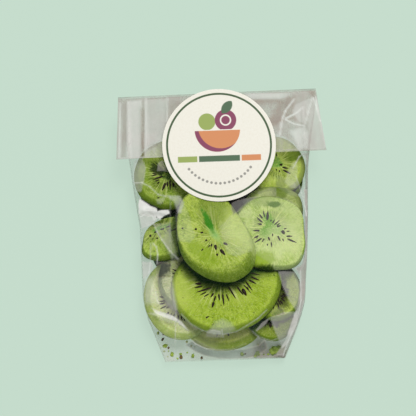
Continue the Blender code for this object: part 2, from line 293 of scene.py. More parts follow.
SHAPES = {
    "middle": Shape(0.06, 1.4, 0.4, 0.4, 0.16, 0.3, 11, (-1.8, 4.4), MIDDLE_OUTLINE),
    "big": Shape(0.09, 1.6, 0.4, -0.3, 0.2, 0.25, 12, (-0.2, 0.9), ROUND),
    "right": Shape(0.08, 1.6, 0.4, 0.2, 0.2, 0.25, 13, (0.8, 0.7), RIGHT_OUTLINE),
    "top_left": Shape(0.1, 1.6, 0.4, 0.3, 0.22, 0.3, 14, (0.8, 0.8), TOP_LEFT_OUTLINE),
    "top_right": Shape(0.12, 1.6, 0.5, 0.3, 0.2, 0.3, 15, (-0.4, 0.6), WIDER),
    "right_rear": Shape(0.14, 1.6, 0.3, 0.2, 0.16, 0.2, 19, (0.0, -0.6), REAR_OUTLINE),
    "left_edge": Shape(0.14, 1.6, 0.2, 0.0, 0.15, 0.2, 16, (-0.4, 1.0), EDGE_OUTLINE),
    "low_left_outer": Shape(0.13, 1.7, 0.4, 0.4, 0.18, 0.25, 17, (1.2, 0.8), WIDE),
    "foot": Shape(0.16, 1.7, 0.4, 0.4, 0.18, 0.25, 18, (0.0, 1.4), WIDE),
}
WAVER = 0.015  # of the radius is how far the outline wavers
WRINKLE = 0.08 * MM  # the fine wrinkles of the faces
CORE_RISE = 0.12 * MM  # how far the core stands up in the middle of a face
LUMP = 0.175 * MM  # the uneven thickness of the whole slice


def disc_noise(radius, angle, rays, rings, seed):
    """Noise that runs along the rays of a disc and closes on itself round it."""
    where = Vector((math.cos(angle) * rays, math.sin(angle) * rays, radius * rings + seed * 7.3))
    return noise.noise(where)


def outline_share(shape, angle):
    """How far out the outline lies at an angle, along a smooth curve through its 12 values."""
    place = angle / (2 * math.pi) * 12
    first = math.floor(place)
    before, here, after, beyond = (shape.outline[(first + k) % 12] for k in (-1, 0, 1, 2))
    t = place - first
    bend = (2 * before - 5 * here + 4 * after - beyond) * t
    bend += (3 * here - before - 3 * after + beyond) * t * t
    return here + 0.5 * t * (after - before + bend)


def slice_surface(item, shape, radius, angle, side, rim_turn):
    """A point of a slice's surface in its own axes. Its rim turn is 0 on the face and 1 mid-rim."""
    waver = WAVER * disc_noise(1, angle, 2.2, 1, shape.seed + 3)
    reach_out = radius * (outline_share(shape, angle) + waver)
    x = item.half_length * MM * reach_out * math.cos(angle)
    y = item.half_width * MM * reach_out * math.sin(angle)
    half = item.thickness * MM / 2 * max(0.0, math.cos(rim_turn * math.pi / 2)) ** (2 / shape.corner)
    between = min(1, radius * 2.5) * min(1, 3.2 * max(0, 0.9 - radius))  # the core and the rim
    pucker = shape.pucker * MM * disc_noise(radius, angle, 5.5, 1.6, shape.seed) * between
    fine = WRINKLE * disc_noise(radius, angle, 13, 3, shape.seed + 1)
    seed_ring = -shape.dish * MM * math.exp(-(((radius - 0.35) / 0.2) ** 2))
    core = CORE_RISE * math.exp(-((radius / 0.16) ** 2))
    face = (pucker + fine + seed_ring + core) * (1 - rim_turn)
    lumps = LUMP * noise.noise(Vector((x * 140, y * 140, side * 3 + shape.seed * 5.1)))
    saddle = shape.saddle * MM * radius**2 * math.cos(2 * angle + shape.seed)
    cup = shape.cup * MM * (radius**2 - 0.5)
    return Vector((x, y, side * (half + face + lumps) + saddle + cup))


def rim_radius(from_pole, shape):
    """The radius and the rim turn of a ring of the master disc."""
    if from_pole <= FLAT_SHARE:
        return (1 - shape.rim) * from_pole / FLAT_SHARE, 0.0
    turn = (from_pole - FLAT_SHARE) / (1 - FLAT_SHARE)
    return 1 - shape.rim + shape.rim * math.sin(turn * math.pi / 2) ** (2 / shape.corner), turn


def shifted_place(item, shape, radius, angle, side, rim_turn):
    """The radius and the angle of a place of the disc after its upper face has moved off the middle."""
    turn = math.radians(-item.turn)
    dx, dy = shape.shift if side > 0 else (0.0, 0.0)
    share = 1 - math.sin(rim_turn * math.pi / 2)
    u = radius * math.cos(angle) + share * (dx * math.cos(turn) - dy * math.sin(turn)) / item.half_length
    v = radius * math.sin(angle) + share * (dx * math.sin(turn) + dy * math.cos(turn)) / item.half_width
    return math.hypot(u, v), math.atan2(v, u)


def shade_smooth(piece):
    """Shades all of a piece's faces as one smooth skin."""
    piece.data.polygons.foreach_set("use_smooth", [True] * len(piece.data.polygons))


def place(piece, slot):
    """Finishes a piece: it rides with the bag. The slot is not used."""
    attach(piece, "root")


def model_slice(item):
    """A copy of the master disc, shaped, laid in its place, and with a UV map that is its plan view."""
    shape = SHAPES.get(item.name, PLAIN_SHAPE._replace(seed=20 + SLICES.index(item)))
    piece = master.copy()
    piece.data = master.data.copy()
    piece.name = piece.data.name = "slice_" + item.name
    bpy.context.scene.collection.objects.link(piece)
    plan = []
    for vertex, (from_pole, angle, side) in zip(piece.data.vertices, master_places, strict=True):
        radius, turn = rim_radius(from_pole, shape)
        moved = shifted_place(item, shape, radius, angle, side, turn)
        vertex.co = laid[item.name] @ slice_surface(item, shape, *moved, side, turn)
        vertex.co.z = max(vertex.co.z, TABLE_GAP)
        plan.append((0.5 + 0.5 * radius * math.cos(angle), 0.5 + 0.5 * radius * math.sin(angle)))
    uv_map = piece.data.uv_layers[0]
    for loop in piece.data.loops:
        uv_map.data[loop.index].uv = plan[loop.vertex_index]
    shade_smooth(piece)
    place(piece, "film_with_chips")
    return piece


slices = {item.name: model_slice(item) for item in SLICES}
bpy.data.objects.remove(master)
print("modelled", len(slices), "slices of", len(slices["big"].data.polygons), "faces")

# %% How open each place lies
# Deep between two slices no light arrives, and the flesh there is nearly black. So each point of a slice
# gets the share of the sky that it sees as an attribute, and the flesh's colour is painted darker by it,
# which is painted shade added to the real shade.
SKY_WAYS = 12
SKY_STEPS = (1, 2, 3, 4.5, 6.5, 9, 12)  # mm
LAMP_SIDE = 0.7  # of the sky's light is the lamp's, and comes from its side
SKY_LIFT = 1.8 * MM  # above the surface is where the sky is looked at, clear of the slice's own edge


def slice_tree(pieces):
    """The faces of some slices, ready for casting rays at them."""
    points, faces = [], []
    for piece in pieces:
        first = len(points)
        points.extend(v.co.copy() for v in piece.data.vertices)
        faces.extend(tuple(first + i for i in p.vertices) for p in piece.data.polygons)
    return BVHTree.FromPolygons(points, faces)


def cast_down(tree, x, y, side=1):
    """How high slices reach at a place from above (side 1) or, turned over, from below (side -1)."""
    hit = tree.ray_cast(Vector((x, y, 0.1 * side)), Vector((0, 0, -side)))[0]
    if hit is None:
        return 0.0 if side > 0 else -0.1
    return side * hit.z


def sky_share(points, side):
    """How much of the sky above (side 1) or below (side -1) each point sees."""
    heights = np.zeros(reach.height.shape)
    for row, column in np.ndindex(*heights.shape):
        x, y = reach.low + (np.array([column, row]) + 0.5) * MAP_CELL
        heights[row, column] = cast_down(all_slices, x, y, side)
    total, lamp_way = np.zeros(len(points)), math.atan2(KEY_PLACE[1], KEY_PLACE[0])
    for way in np.linspace(0, 2 * math.pi, SKY_WAYS, endpoint=False):
        steepest = np.zeros(len(points))
        for step in SKY_STEPS:
            x = points[:, 0] + step * MM * math.cos(way)
            y = points[:, 1] + step * MM * math.sin(way)
            rise = heights[reach.cells(x, y)] - side * points[:, 2] - SKY_LIFT
            steepest = np.maximum(steepest, rise / (step * MM))
        total += (1 - steepest / np.sqrt(1 + steepest**2)) * (1 + LAMP_SIDE * math.cos(way - lamp_way))
    return total / SKY_WAYS


all_slices = slice_tree(slices.values())
for piece in slices.values():
    points = np.array([v.co for v in piece.data.vertices])
    seen = np.maximum(sky_share(points, 1), sky_share(points, -1))
    piece.data.attributes.new("open", "FLOAT", "POINT").data.foreach_set("value", seen)
print("the middle slice sees", round(float(seen.mean()) * 100), "% of the sky on average")

# %% [markdown]
# ## The flesh of a kiwi
#
# A cut kiwi has a pale core, a ring of seeds with dark green rays between them, and flesh whose fibres
# run out to the rim. All of that is laid out round the middle of the slice, so the shader works in polar
# terms. Noise that is read at the direction from the middle, and only slowly changes with the distance,
# comes out as rays. The pattern is one node group, and every slice uses it with values of its own.

# %% Helpers for shader nodes
def add_node(tree, kind, settings=None, **inputs):
    """Adds a shader node and fills its inputs."""
    node = tree.nodes.new("ShaderNode" + kind)
    for key, value in (settings or {}).items():
        setattr(node, key, value)
    return fill(node, **inputs)


def calculate(operation, *values, clamp=False):
    """One step of arithmetic on sockets and numbers."""
    tree = next(v.id_data for v in values if isinstance(v, bpy.types.NodeSocket))
    inputs = {f"i{k}": value for k, value in enumerate(values)}
    return add_node(tree, "Math", {"operation": operation, "use_clamp": clamp}, **inputs).outputs[0]


def times(first, second, plus=0.0):
    """A product of sockets or numbers, and what is added to it."""
    return calculate("MULTIPLY_ADD", first, second, plus)


def minus(first, second):
    """A difference of sockets or numbers."""
    return calculate("SUBTRACT", first, second)


def ramp(value, low, high, to_low=0.0, to_high=1.0):
    """Maps a value from one range to another along a smooth curve."""
    inputs = {"i0": value, "i1": low, "i2": high, "i3": to_low, "i4": to_high}
    return add_node(value.id_data, "MapRange", {"interpolation_type": "SMOOTHSTEP"}, **inputs).outputs[0]


def mix_colours(share, first, second):
    """Mixes two colours by a share."""
    return add_node(share.id_data, "Mix", {"data_type": "RGBA"}, i0=share, i6=first, i7=second).outputs[2]


def vector_step(operation, *values):
    """One step of arithmetic on directions or places."""
    inputs = {f"i{k}": value for k, value in enumerate(values)}
    return add_node(values[0].id_data, "VectorMath", {"operation": operation}, **inputs)


def from_middle(place_in_plan):
    """How far a place is from 0, 0."""
    return vector_step("LENGTH", place_in_plan).outputs["Value"]


def grain_at(where, scale, detail=2.0, roughness=0.5):
    """Noise of some fineness, read at a place."""
    inputs = {"Vector": where, "Scale": scale, "Detail": detail, "Roughness": roughness}
    return add_node(where.id_data, "TexNoise", **inputs).outputs["Fac"]


# %% The flesh as a node group
FLESH_INPUTS = {
    "Vector": ("place", "grain place"),
    "Float": (
        "plan radius", "open", "rim start", "own number", "core size", "core lobes", "core turn",
        "seed ring", "ring width", "ring depth", "frost", "shade",
    ),
    "Color": ("flesh", "pale", "deep", "core", "rim"),
}
FLESH_OUTPUTS = (("Color", "Color"), ("Roughness", "Float"), ("Height", "Float"))
FROST = from_screen(218, 228, 146)
SHADE = from_screen(16, 54, 12)
LIT_SKY, DARK_SKY = 0.78, 0.42  # the share of the sky at which flesh is fully lit, and at which it is dark


def build_flesh_group():
    """The colour, the roughness and the height of kiwi flesh, from a place in plan and one in space."""
    group = bpy.data.node_groups.new("kiwi_flesh", "ShaderNodeTree")
    for kind, labels in FLESH_INPUTS.items():
        for label in labels:
            group.interface.new_socket(label, in_out="INPUT", socket_type="NodeSocket" + kind)
    for label, kind in FLESH_OUTPUTS:
        group.interface.new_socket(label, in_out="OUTPUT", socket_type="NodeSocket" + kind)
    given = group.nodes.new("NodeGroupInput").outputs
    result = group.nodes.new("NodeGroupOutput")
    radius = from_middle(given["place"])
    ray = vector_step("NORMALIZE", given["place"]).outputs[0]

    def ray_noise(rays, rings, shift):
        """Noise that runs along the rays."""
        depth = times(radius, rings, times(given["own number"], 3.7, shift))
        depth = add_node(group, "CombineXYZ", Z=depth).outputs[0]
        return grain_at(vector_step("MULTIPLY_ADD", ray, (rays,) * 3, depth).outputs[0], 1.0)

    def space_noise(scale, detail=3.0):
        """Noise with the same grain on every slice."""
        return grain_at(given["grain place"], scale, detail, 0.6)

    def blend(colour, share, over):
        """Lays a colour, which can be one of the given ones, over another."""
        return mix_colours(share, colour, given[over] if isinstance(over, str) else over)

    clouds, mottle, grain = space_noise(110.0), space_noise(380.0), space_noise(1000.0)
    dust = space_noise(2100.0, 1.0)
    fibres, broad_rays = ray_noise(46.0, 10.0, 0.0), ray_noise(8.0, 1.0, 5.0)
    streaks = ray_noise(15.0, 1.8, 9.0)

    # Clouded and mottled flesh, with short fibres along the rays.
    colour = blend(given["flesh"], ramp(clouds, 0.38, 0.62), "pale")
    colour = blend(colour, times(ramp(mottle, 0.5, 0.66), 0.7), "pale")
    colour = blend(colour, times(ramp(mottle, 0.5, 0.34), 0.35), "rim")
    colour = blend(colour, times(ramp(fibres, 0.48, 0.66), 0.75), "pale")
    colour = blend(colour, times(ramp(fibres, 0.5, 0.32), 0.45), "rim")

    # The ring of rays between the seeds.
    off_ring = calculate("ABSOLUTE", minus(radius, given["seed ring"]))
    in_ring = ramp(calculate("DIVIDE", off_ring, given["ring width"]), 1.0, 0.15)
    dark_rays = times(ramp(streaks, 0.5, 0.62), in_ring)
    light_rays = times(ramp(streaks, 0.46, 0.36), ramp(radius, 0.85, 0.45))
    colour = blend(colour, times(times(in_ring, 0.35), given["ring depth"]), "deep")
    colour = blend(colour, times(dark_rays, given["ring depth"]), "deep")
    colour = blend(colour, times(light_rays, given["frost"]), FROST)

    # The core: a round or three-cornered patch whose edge frays along the rays.
    parts = add_node(group, "SeparateXYZ", Vector=given["place"]).outputs
    angle = calculate("ARCTAN2", parts["Y"], parts["X"])
    lobes = times(calculate("COSINE", times(angle, 3.0, given["core turn"])), given["core lobes"], 1.0)
    frayed = times(broad_rays, 0.3, times(streaks, 0.9, 0.4))
    core_edge = times(times(lobes, frayed), given["core size"])
    colour = blend(colour, ramp(calculate("DIVIDE", radius, core_edge), 1.3, 0.8), "core")

    # Small dark specks, and the deeper green of the rim.
    cells = add_node(group, "TexVoronoi", Vector=given["grain place"], Scale=420.0, Randomness=1.0).outputs
    chosen = add_node(group, "SeparateColor", Color=cells["Color"]).outputs[0]
    specks = ramp(minus(cells["Distance"], ramp(chosen, 0.9, 1.0, 0.0, 0.22)), 0.05, -0.03)
    colour = blend(colour, times(specks, 0.6), "deep")
    past_rim = minus(given["plan radius"], given["rim start"])
    rim = ramp(times(minus(mottle, 0.5), 0.08, past_rim), -0.015, 0.03)
    colour = blend(colour, times(rim, times(ramp(mottle, 0.65, 0.35), 0.2, 0.8)), "rim")
    grain_share = times(rim, -0.5, 0.75)
    colour = blend(colour, times(ramp(grain, 0.5, 0.7), grain_share), "pale")
    colour = blend(colour, times(ramp(grain, 0.46, 0.3), 0.4), "rim")
    colour = blend(colour, times(times(ramp(dust, 0.5, 0.75), grain_share), 0.55), FROST)
    # Painted shade: the flesh turns a deep green where its point sees little of the sky.
    colour = blend(colour, times(ramp(given["open"], LIT_SKY, DARK_SKY), given["shade"]), SHADE)
    height = times(dark_rays, -0.3, times(fibres, 0.35, times(grain, 0.3, times(mottle, 0.5))))
    fill(result, Color=colour, Roughness=times(grain, 0.25, 0.5), Height=height)
    return group


flesh_group = build_flesh_group()
print("the flesh group has", len(flesh_group.nodes), "nodes")

# %% [markdown]
# Each slice then gets its own material. Its middle needn't be the middle of its outline, because a fruit is
# seldom cut square across, so a Mapping node moves and stretches the pattern first.

# %% Helpers for places and bumps
def object_place(tree):
    """A place on a piece, in metres."""
    return add_node(tree, "TexCoord").outputs["Object"]


def point_value(tree, name):
    """A value that the points of a mesh carry as an attribute."""
    return add_node(tree, "Attribute", {"attribute_name": name}).outputs["Fac"]


def seen_from(where, middle, size, turn=0.0):
    """A place counted from a middle, in steps of a size, along axes turned by some degrees."""
    inputs = {"Location": (*middle, 0), "Rotation": (0, 0, math.radians(turn)), "Scale": (*size, 1)}
    return add_node(where.id_data, "Mapping", {"vector_type": "TEXTURE"}, Vector=where, **inputs).outputs[0]


def plan_place(tree):
    """A place in the plan view that a piece's UV map holds: its middle is 0, 0 and its edge is 1 away."""
    return seen_from(add_node(tree, "UVMap").outputs[0], (0.5, 0.5), (0.5, 0.5))


def bump(shader, height, strength, distance):
    """Makes a surface uneven by a height."""
    inputs = {"Height": height, "Strength": strength, "Distance": distance}
    fill(shader, Normal=add_node(height.id_data, "Bump", **inputs).outputs[0])


# %% The slices' materials
# A look's places and sizes are shares of the slice's outline. Its last five values are colours of a screen.
Look = namedtuple(
    "Look",
    "centre stretch core_size core_lobes core_turn seed_ring ring_width ring_depth frost shade"
    " flesh pale deep core rim",
)
PLAIN_LOOK = Look(
    (0.0, 0.0), (1.0, 1.0), 0.17, 0.15, 0.0, 0.4, 0.2, 0.7, 0.5, 1.0,
    (150, 178, 40), (186, 204, 92), (44, 70, 10), (118, 168, 66), (98, 126, 20),
)
LOOKS = {
    "middle": PLAIN_LOOK._replace(
        centre=(0.15, 0.02), core_size=0.05, seed_ring=0.3, ring_width=0.2, ring_depth=0.25, frost=0.6,
        flesh=(138, 166, 18), pale=(174, 194, 80), rim=(84, 112, 16),
    ),
    "big": PLAIN_LOOK._replace(
        centre=(-0.03, 0.22), core_size=0.2, seed_ring=0.3, ring_width=0.24, ring_depth=0.9, frost=0.8,
        flesh=(146, 176, 22), pale=(176, 200, 68), rim=(120, 146, 34),
    ),
    "right": PLAIN_LOOK._replace(
        centre=(0.05, 0.1), core_size=0.26, core_lobes=0.4, core_turn=2.83, seed_ring=0.36, ring_width=0.16,
        ring_depth=0.35, frost=1.0,
        flesh=(168, 198, 72), pale=(206, 222, 140), core=(112, 168, 34), rim=(126, 156, 50),
    ),
    # Painted shade: this slice's flesh and core are painted darker, for the shade of the label over it.
    "top_left": PLAIN_LOOK._replace(
        centre=(-0.07, 0.09), core=(36, 80, 10), flesh=(110, 142, 16), pale=(154, 178, 66),
    ),
    # Painted light: the two low left slices and the foot slice lie in shadow, so their flesh is painted
    # paler than the others' to lighten them, and their low shade values weaken the painted shade.
    "low_left_outer": PLAIN_LOOK._replace(
        shade=0.15, flesh=(224, 236, 150), pale=(240, 246, 190), rim=(166, 186, 100),
    ),
    "low_left_inner": PLAIN_LOOK._replace(shade=0.35, flesh=(212, 224, 142), pale=(232, 238, 184)),
    "foot": PLAIN_LOOK._replace(shade=0.15, flesh=(206, 224, 70), pale=(230, 238, 140), rim=(132, 158, 40)),
    "top_right": PLAIN_LOOK._replace(centre=(0.09, 0.09), rim=(150, 168, 84)),
    "right_rear": PLAIN_LOOK._replace(
        ring_depth=0.2, flesh=(158, 176, 84), pale=(188, 202, 128), rim=(140, 156, 84),
    ),
    "low_right_lower": PLAIN_LOOK._replace(flesh=(110, 136, 18), pale=(142, 162, 52)),
    "left_edge": PLAIN_LOOK._replace(
        centre=(-0.1, 0.5), stretch=(3.2, 1.0), core_size=0.1, seed_ring=0.24, ring_width=0.16,
        flesh=(150, 184, 44), pale=(186, 208, 96),
    ),
}
# Marks on single slices: the middle of the mark and its half length and half width in the slice's plan,
# its turn (degrees), its colour and how strong it is. Some marks are painted shade and one is painted
# light, as said at each.
MARKS = {
    "middle": (
        # Painted shade: a dark olive patch that darkens the upper part of the slice.
        ((-0.33, 0.4), (0.52, 0.6), 0, (84, 112, 8), 0.5),
        ((0.36, 0.82), (0.62, 0.6), 0, (206, 222, 130), 0.55),
        ((0.34, -0.57), (0.6, 0.24), 23, (132, 162, 8), 0.6),
        ((0.12, 0.01), (0.24, 0.13), 0, (160, 200, 120), 0.6),
        ((-0.19, 0.09), (0.33, 0.1), -13, (50, 132, 4), 0.95),
    ),
    "right": (
        ((0.53, 0.5), (0.26, 0.1), -40, (60, 104, 0), 0.95),
        ((0.32, 0.77), (0.34, 0.2), -27, (136, 160, 72), 0.55),
        ((0.66, 0.1), (0.4, 0.8), 0, (134, 164, 52), 0.25),
        ((0.1, -0.3), (0.7, 0.5), 0, (216, 230, 160), 0.45),
        ((-0.64, -0.44), (0.4, 0.26), -40, (150, 180, 30), 0.8),
        # Painted shadow: dark green along the lower left rim, where it lies in shadow.
        ((-0.84, -0.63), (0.44, 0.15), -40, (16, 50, 0), 0.95),
    ),
    "right_rear": (((0.68, 0.52), (0.26, 0.34), 0, (96, 122, 0), 0.7),),
    "big": (((-0.86, 0.13), (0.25, 0.5), 0, (206, 222, 110), 0.5),),
    # Painted shade: a near-black patch where this slice lies deep in a gap between the slices.
    "low_right_upper": (((0.17, -0.27), (0.65, 0.34), -96, (36, 44, 10), 0.75),),
    # Painted shadow: a dark patch where the slices above shade this one.
    "low_left_inner": (((-0.05, 1.0), (0.44, 0.4), 0, (44, 60, 34), 0.95),),
    # Painted light: a pale patch that lightens this slice's left part, which lies in the big slice's
    # shadow.
    "foot": (((-0.48, -0.81), (0.5, 0.3), -34, (238, 246, 170), 0.3),),
    # Painted shade: a dark patch beside the core.
    "top_left": (((-0.09, 0.38), (0.27, 0.15), -95, (30, 46, 10), 0.9),),
    "top_right": (
        ((0.5, -0.51), (0.2, 0.3), 0, (120, 138, 34), 0.6),
        ((0.48, 0.6), (0.32, 0.24), 55, (96, 130, 0), 0.7),
    ),
}


def flesh_material(item):
    """The material of one slice."""
    look = LOOKS.get(item.name, PLAIN_LOOK)._asdict()
    look.update({key: from_screen(*look[key]) for key in FLESH_INPUTS["Color"]})
    material, tree, shader = new_material("flesh_" + item.name)
    plan = plan_place(tree)
    group_node = tree.nodes.new("ShaderNodeGroup")
    group_node.node_tree = flesh_group
    fill(
        group_node,
        place=seen_from(plan, look.pop("centre"), look.pop("stretch")),
        grain_place=object_place(tree),
        plan_radius=from_middle(plan),
        open=point_value(tree, "open"),
        rim_start=1 - SHAPES.get(item.name, PLAIN_SHAPE).rim,
        own_number=float(SLICES.index(item)),
        **look,
    )
    flesh = group_node.outputs
    colour = flesh["Color"]
    for middle, size, turn, mark_colour, strength in MARKS.get(item.name, ()):
        away = from_middle(seen_from(plan, middle, size, turn))
        frayed = times(flesh["Height"], 1.4, calculate("ADD", away, -0.8))
        colour = mix_colours(times(ramp(frayed, 1.1, 0.5), strength), colour, from_screen(*mark_colour))
    fill(shader, Base_Color=colour, Roughness=flesh["Roughness"], Specular_IOR_Level=0.08)
    fill(shader, Subsurface_Weight=0.12, Subsurface_Radius=(0.6, 1.0, 0.25), Subsurface_Scale=1.5 * MM)
    bump(shader, flesh["Height"], 0.7, 0.35 * MM)
    return material


for item in SLICES:
    slices[item.name].data.materials.append(flesh_material(item))
print("made", len(SLICES), "materials of flesh")

# %% [markdown]
# ## The seeds
#
# The seeds are small black drops in a ring round the core, each pointing at it. One drop is modelled and
# copied hundreds of times, so it has few faces. Each copy is pressed halfway into the face of its slice.

# %% Seeds
# The seeds of the slices that show best: their middle (mm), their heading (degrees), length and width (mm).
SEEDS = {
    "right": (
        (19.4, 4, 85, 3.4, 1.0), (17.8, 4.8, 100, 2.8, 0.5), (16.4, 3.8, 125, 2.2, 0.7),
        (15.8, 2.2, 135, 3.2, 0.7), (15.8, 0.4, 165, 1.8, 0.7), (14.2, -2.4, 175, 2.6, 0.7),
        (14, -5.2, 205, 2, 0.7), (14.8, -6.8, 210, 3.4, 0.7), (17, -6.8, 235, 1.8, 0.5),
        (19.6, -6.2, 290, 1.6, 0.7), (20.6, -8.8, 275, 2.2, 0.5), (18.8, -8.8, 260, 0.8, 0.5),
        (21.2, -4.6, 260, 1.2, 0.5), (24, -6.2, 295, 2.2, 0.7), (25.8, -7, 290, 1.2, 0.5),
        (29.6, -7.4, 335, 4, 0.7), (28.6, -5.4, 360, 2.4, 0.7), (26, -3.6, 305, 1.8, 1.3),
        (27, -2, 20, 1.2, 0.5), (28.2, -3.2, 5, 1.4, 0.5), (24.2, -0.8, 20, 1.8, 0.7),
        (24, 0, 35, 1.6, 0.5), (23.4, 0.8, 40, 2.8, 0.5), (22, 1.4, 55, 2, 0.5), (20.8, 1.8, 60, 1, 0.5),
    ),
    "big": (
        (-12.2, -25, 180, 2.6, 1.0), (-12.2, -26.4, 190, 3.2, 0.7), (-9.8, -27.8, 195, 6.4, 0.7),
        (-10.2, -29.4, 205, 3, 0.5), (-8.8, -30.2, 210, 2.4, 0.5), (-6.2, -30.2, 230, 2.2, 0.7),
        (-5.2, -32, 250, 2.8, 0.7), (-6, -34.4, 250, 2.4, 1.0), (-3.2, -31.2, 275, 2.6, 0.7),
        (-1.4, -32.4, 275, 4.8, 0.7), (0.6, -31.6, 290, 3.2, 0.5), (2.6, -29.4, 300, 5.6, 0.7),
        (6.2, -28.8, 305, 4.4, 0.7), (8, -29.4, 300, 3.2, 1.4), (9.4, -28, 310, 4.6, 0.5),
        (9.6, -27.8, 300, 1.6, 0.5), (10.2, -26.8, 305, 4.6, 0.7), (11.8, -25, 330, 3.4, 0.7),
        (13, -23.6, 335, 3.8, 0.7), (13.2, -21.6, 345, 4, 0.5),
        (-8.6, -39.7, 25, 1.6, 0.6), (-6.4, -39.9, 10, 0.4, 0.3), (-6.2, -42.9, 55, 1.2, 0.25),
        (-1.4, -42.6, 0, 0.4, 0.3), (-19.3, -19, 0, 0.5, 0.4),
        (-21.1, -20.4, 0, 0.4, 0.3), (-19.1, -30.8, 0, 0.4, 0.25),
    ),
    "middle": (
        (-12.4, -0.8, 180, 1, 0.9), (-18.2, -0.2, 180, 0.8, 0.7), (-9.8, -2.4, 195, 1.2, 0.8),
        (-8, -5.8, 205, 1, 0.7), (-4, -9, 275, 2.2, 1.1), (-5.8, -8, 250, 1.2, 0.6),
        (-6.8, -8.4, 235, 1.2, 0.5), (0.4, -7.6, 340, 1.8, 1.0), (-1, -11.2, 310, 3, 1.2),
        (-3.4, -12.2, 275, 1, 0.8), (-9.8, -9.8, 225, 1.2, 0.5), (-18.2, 3, 30, 0.6, 0.3),
    ),
    "top_left": (
        (-30.2, 24.4, 175, 1.4, 0.5), (-30.2, 23.6, 195, 2.4, 0.5), (-28.6, 22.4, 195, 4.4, 0.7),
        (-29, 21.2, 195, 2.2, 0.5), (-28.4, 20.2, 220, 1.4, 0.5), (-26, 18.4, 245, 3.4, 1.0),
        (-24.4, 19.4, 270, 2.2, 0.7), (-23.2, 19, 270, 4, 0.7), (-21.8, 19, 280, 1.8, 0.7),
        (-28.5, 13.6, 20, 1, 0.5), (-26.8, 11.2, 60, 0.7, 0.3),
    ),
    "left_edge": (
        (-32.8, -3.2, 210, 1, 1.0), (-30.4, -1.6, 205, 1.4, 0.7), (-27.4, -0.4, 195, 1.8, 0.7),
        (-24.6, 0.6, 200, 2.2, 0.7), (-29.8, -4.4, 210, 0.8, 0.7), (-22, -0.8, 205, 3, 0.5),
    ),
    "top_right": (
        (24.8, 31, 90, 1.4, 0.5), (26.6, 26.4, 280, 1, 1.3), (28.4, 25, 345, 2.4, 0.7),
        (29, 23.2, 330, 3.4, 0.7), (24.4, 24.2, 260, 0.8, 0.5), (25.8, 23.6, 300, 1, 0.5),
    ),
    "right_rear": (),
}
# The other slices have rings of seeds: how many, the nearest and farthest place as a share of the slice's
# radius, and the longest and widest (mm).
SeedRing = namedtuple("SeedRing", "count inner outer length width")
SEED_RING = SeedRing(34, 0.3, 0.52, 2.8, 0.8)
# Half of a seed is sunk in the flesh, so it is modelled wider and longer than what shows of it.
SEED_GIRTH, SEED_REACH = 1.6, 1.2
SEED_TAPER, SEED_FLATNESS = 0.55, 0.8

bpy.ops.object.select_all(action="DESELECT")
bpy.ops.mesh.primitive_uv_sphere_add(segments=8, ring_count=6, radius=0.5)
seed_form = bpy.context.object
for vertex in seed_form.data.vertices:
    taper = 1 - SEED_TAPER * (vertex.co.x + 0.5)
    vertex.co.y *= taper
    vertex.co.z *= taper * SEED_FLATNESS
seed_form_points = [v.co.copy() for v in seed_form.data.vertices]
seed_form_faces = [tuple(p.vertices) for p in seed_form.data.polygons]
bpy.data.objects.remove(seed_form)


def add_piece(name, points, faces):
    """A new object in the scene, from its points and its faces."""
    mesh = bpy.data.meshes.new(name)
    mesh.from_pydata(points, [], faces)
    piece = bpy.data.objects.new(name, mesh)
    bpy.context.scene.collection.objects.link(piece)
    return piece


def add_seed(tree, x, y, heading, reach_along, girth):
    """Adds one seed to the lists of points and faces, laid on its slice from above."""
    along = Vector((math.cos(heading), math.sin(heading), 0))
    reach_along *= SEED_REACH
    ends = [Vector((x, y, 0)) + along * reach_along * part for part in (-0.5, 0.5)]
    tail, tip = (Vector((end.x, end.y, cast_down(tree, end.x, end.y))) for end in ends)
    middle, along = (tail + tip) / 2, (tip - tail).normalized()
    across = Vector((0, 0, 1)).cross(along).normalized()
    up = along.cross(across)
    first = len(seed_points)
    for point in seed_form_points:
        beside = (across * point.y + up * point.z) * girth * SEED_GIRTH
        seed_points.append(middle + along * point.x * reach_along + beside)
    seed_faces.extend(tuple(first + i for i in face) for face in seed_form_faces)


def ring_places(item, dice):
    """The seeds of a slice that has a ring of them."""
    look = LOOKS.get(item.name, PLAIN_LOOK)
    turn = laid[item.name]
    for k in range(SEED_RING.count):
        angle = 2 * math.pi * (k + dice.uniform(-0.3, 0.3)) / SEED_RING.count
        distance = dice.uniform(SEED_RING.inner, SEED_RING.outer)
        u = item.half_length * (look.centre[0] + distance * math.cos(angle) * look.stretch[0]) * MM
        v = item.half_width * (look.centre[1] + distance * math.sin(angle) * look.stretch[1]) * MM
        middle = turn @ Vector((u, v, 0))
        size = [dice.uniform(0.6, 1.1) * most * MM for most in (SEED_RING.length, SEED_RING.width)]
        yield middle.x, middle.y, angle + math.radians(item.turn), *size


seed_dice = random.Random(7)
seed_points, seed_faces = [], []
for item in SLICES:
    tree = slice_tree([slices[item.name]])
    if item.name in SEEDS:
        for x, y, heading, long_side, short_side in SEEDS[item.name]:
            add_seed(tree, x * MM, y * MM, math.radians(heading), long_side * MM, short_side * MM)
    else:
        for row in ring_places(item, seed_dice):
            add_seed(tree, *row)
seeds = add_piece("seeds", seed_points, seed_faces)
shade_smooth(seeds)
seed_material, seed_tree, seed_shader = new_material("seed_black")
seed_tint = grain_at(object_place(seed_tree), 420.0)
seed_colour = mix_colours(seed_tint, from_screen(14, 12, 4), from_screen(50, 34, 16))
fill(seed_shader, Base_Color=seed_colour, Roughness=0.5, Specular_IOR_Level=0.2)
seeds.data.materials.append(seed_material)
place(seeds, "film_with_chips")
print("placed", len(seed_faces) // len(seed_form_faces), "seeds")

# %% [markdown]
# ## The film
#
# The bag is one tube of film. It lies flat on the table, stands up at the sides, and is drawn taut over
# the slices. At the top it is pressed flat, folded over and brought back down over the front as a flap.
# So it is modelled as one long row of rings: up the bag, round the fold and down the flap.
#
# The taut front could be a cloth simulation. A taut film is simpler than cloth, though: every point of it
# lies level with its neighbours unless a slice pushes it up. Repeating just that rule a few thousand
# times gives the film, and it gives the same film every time.

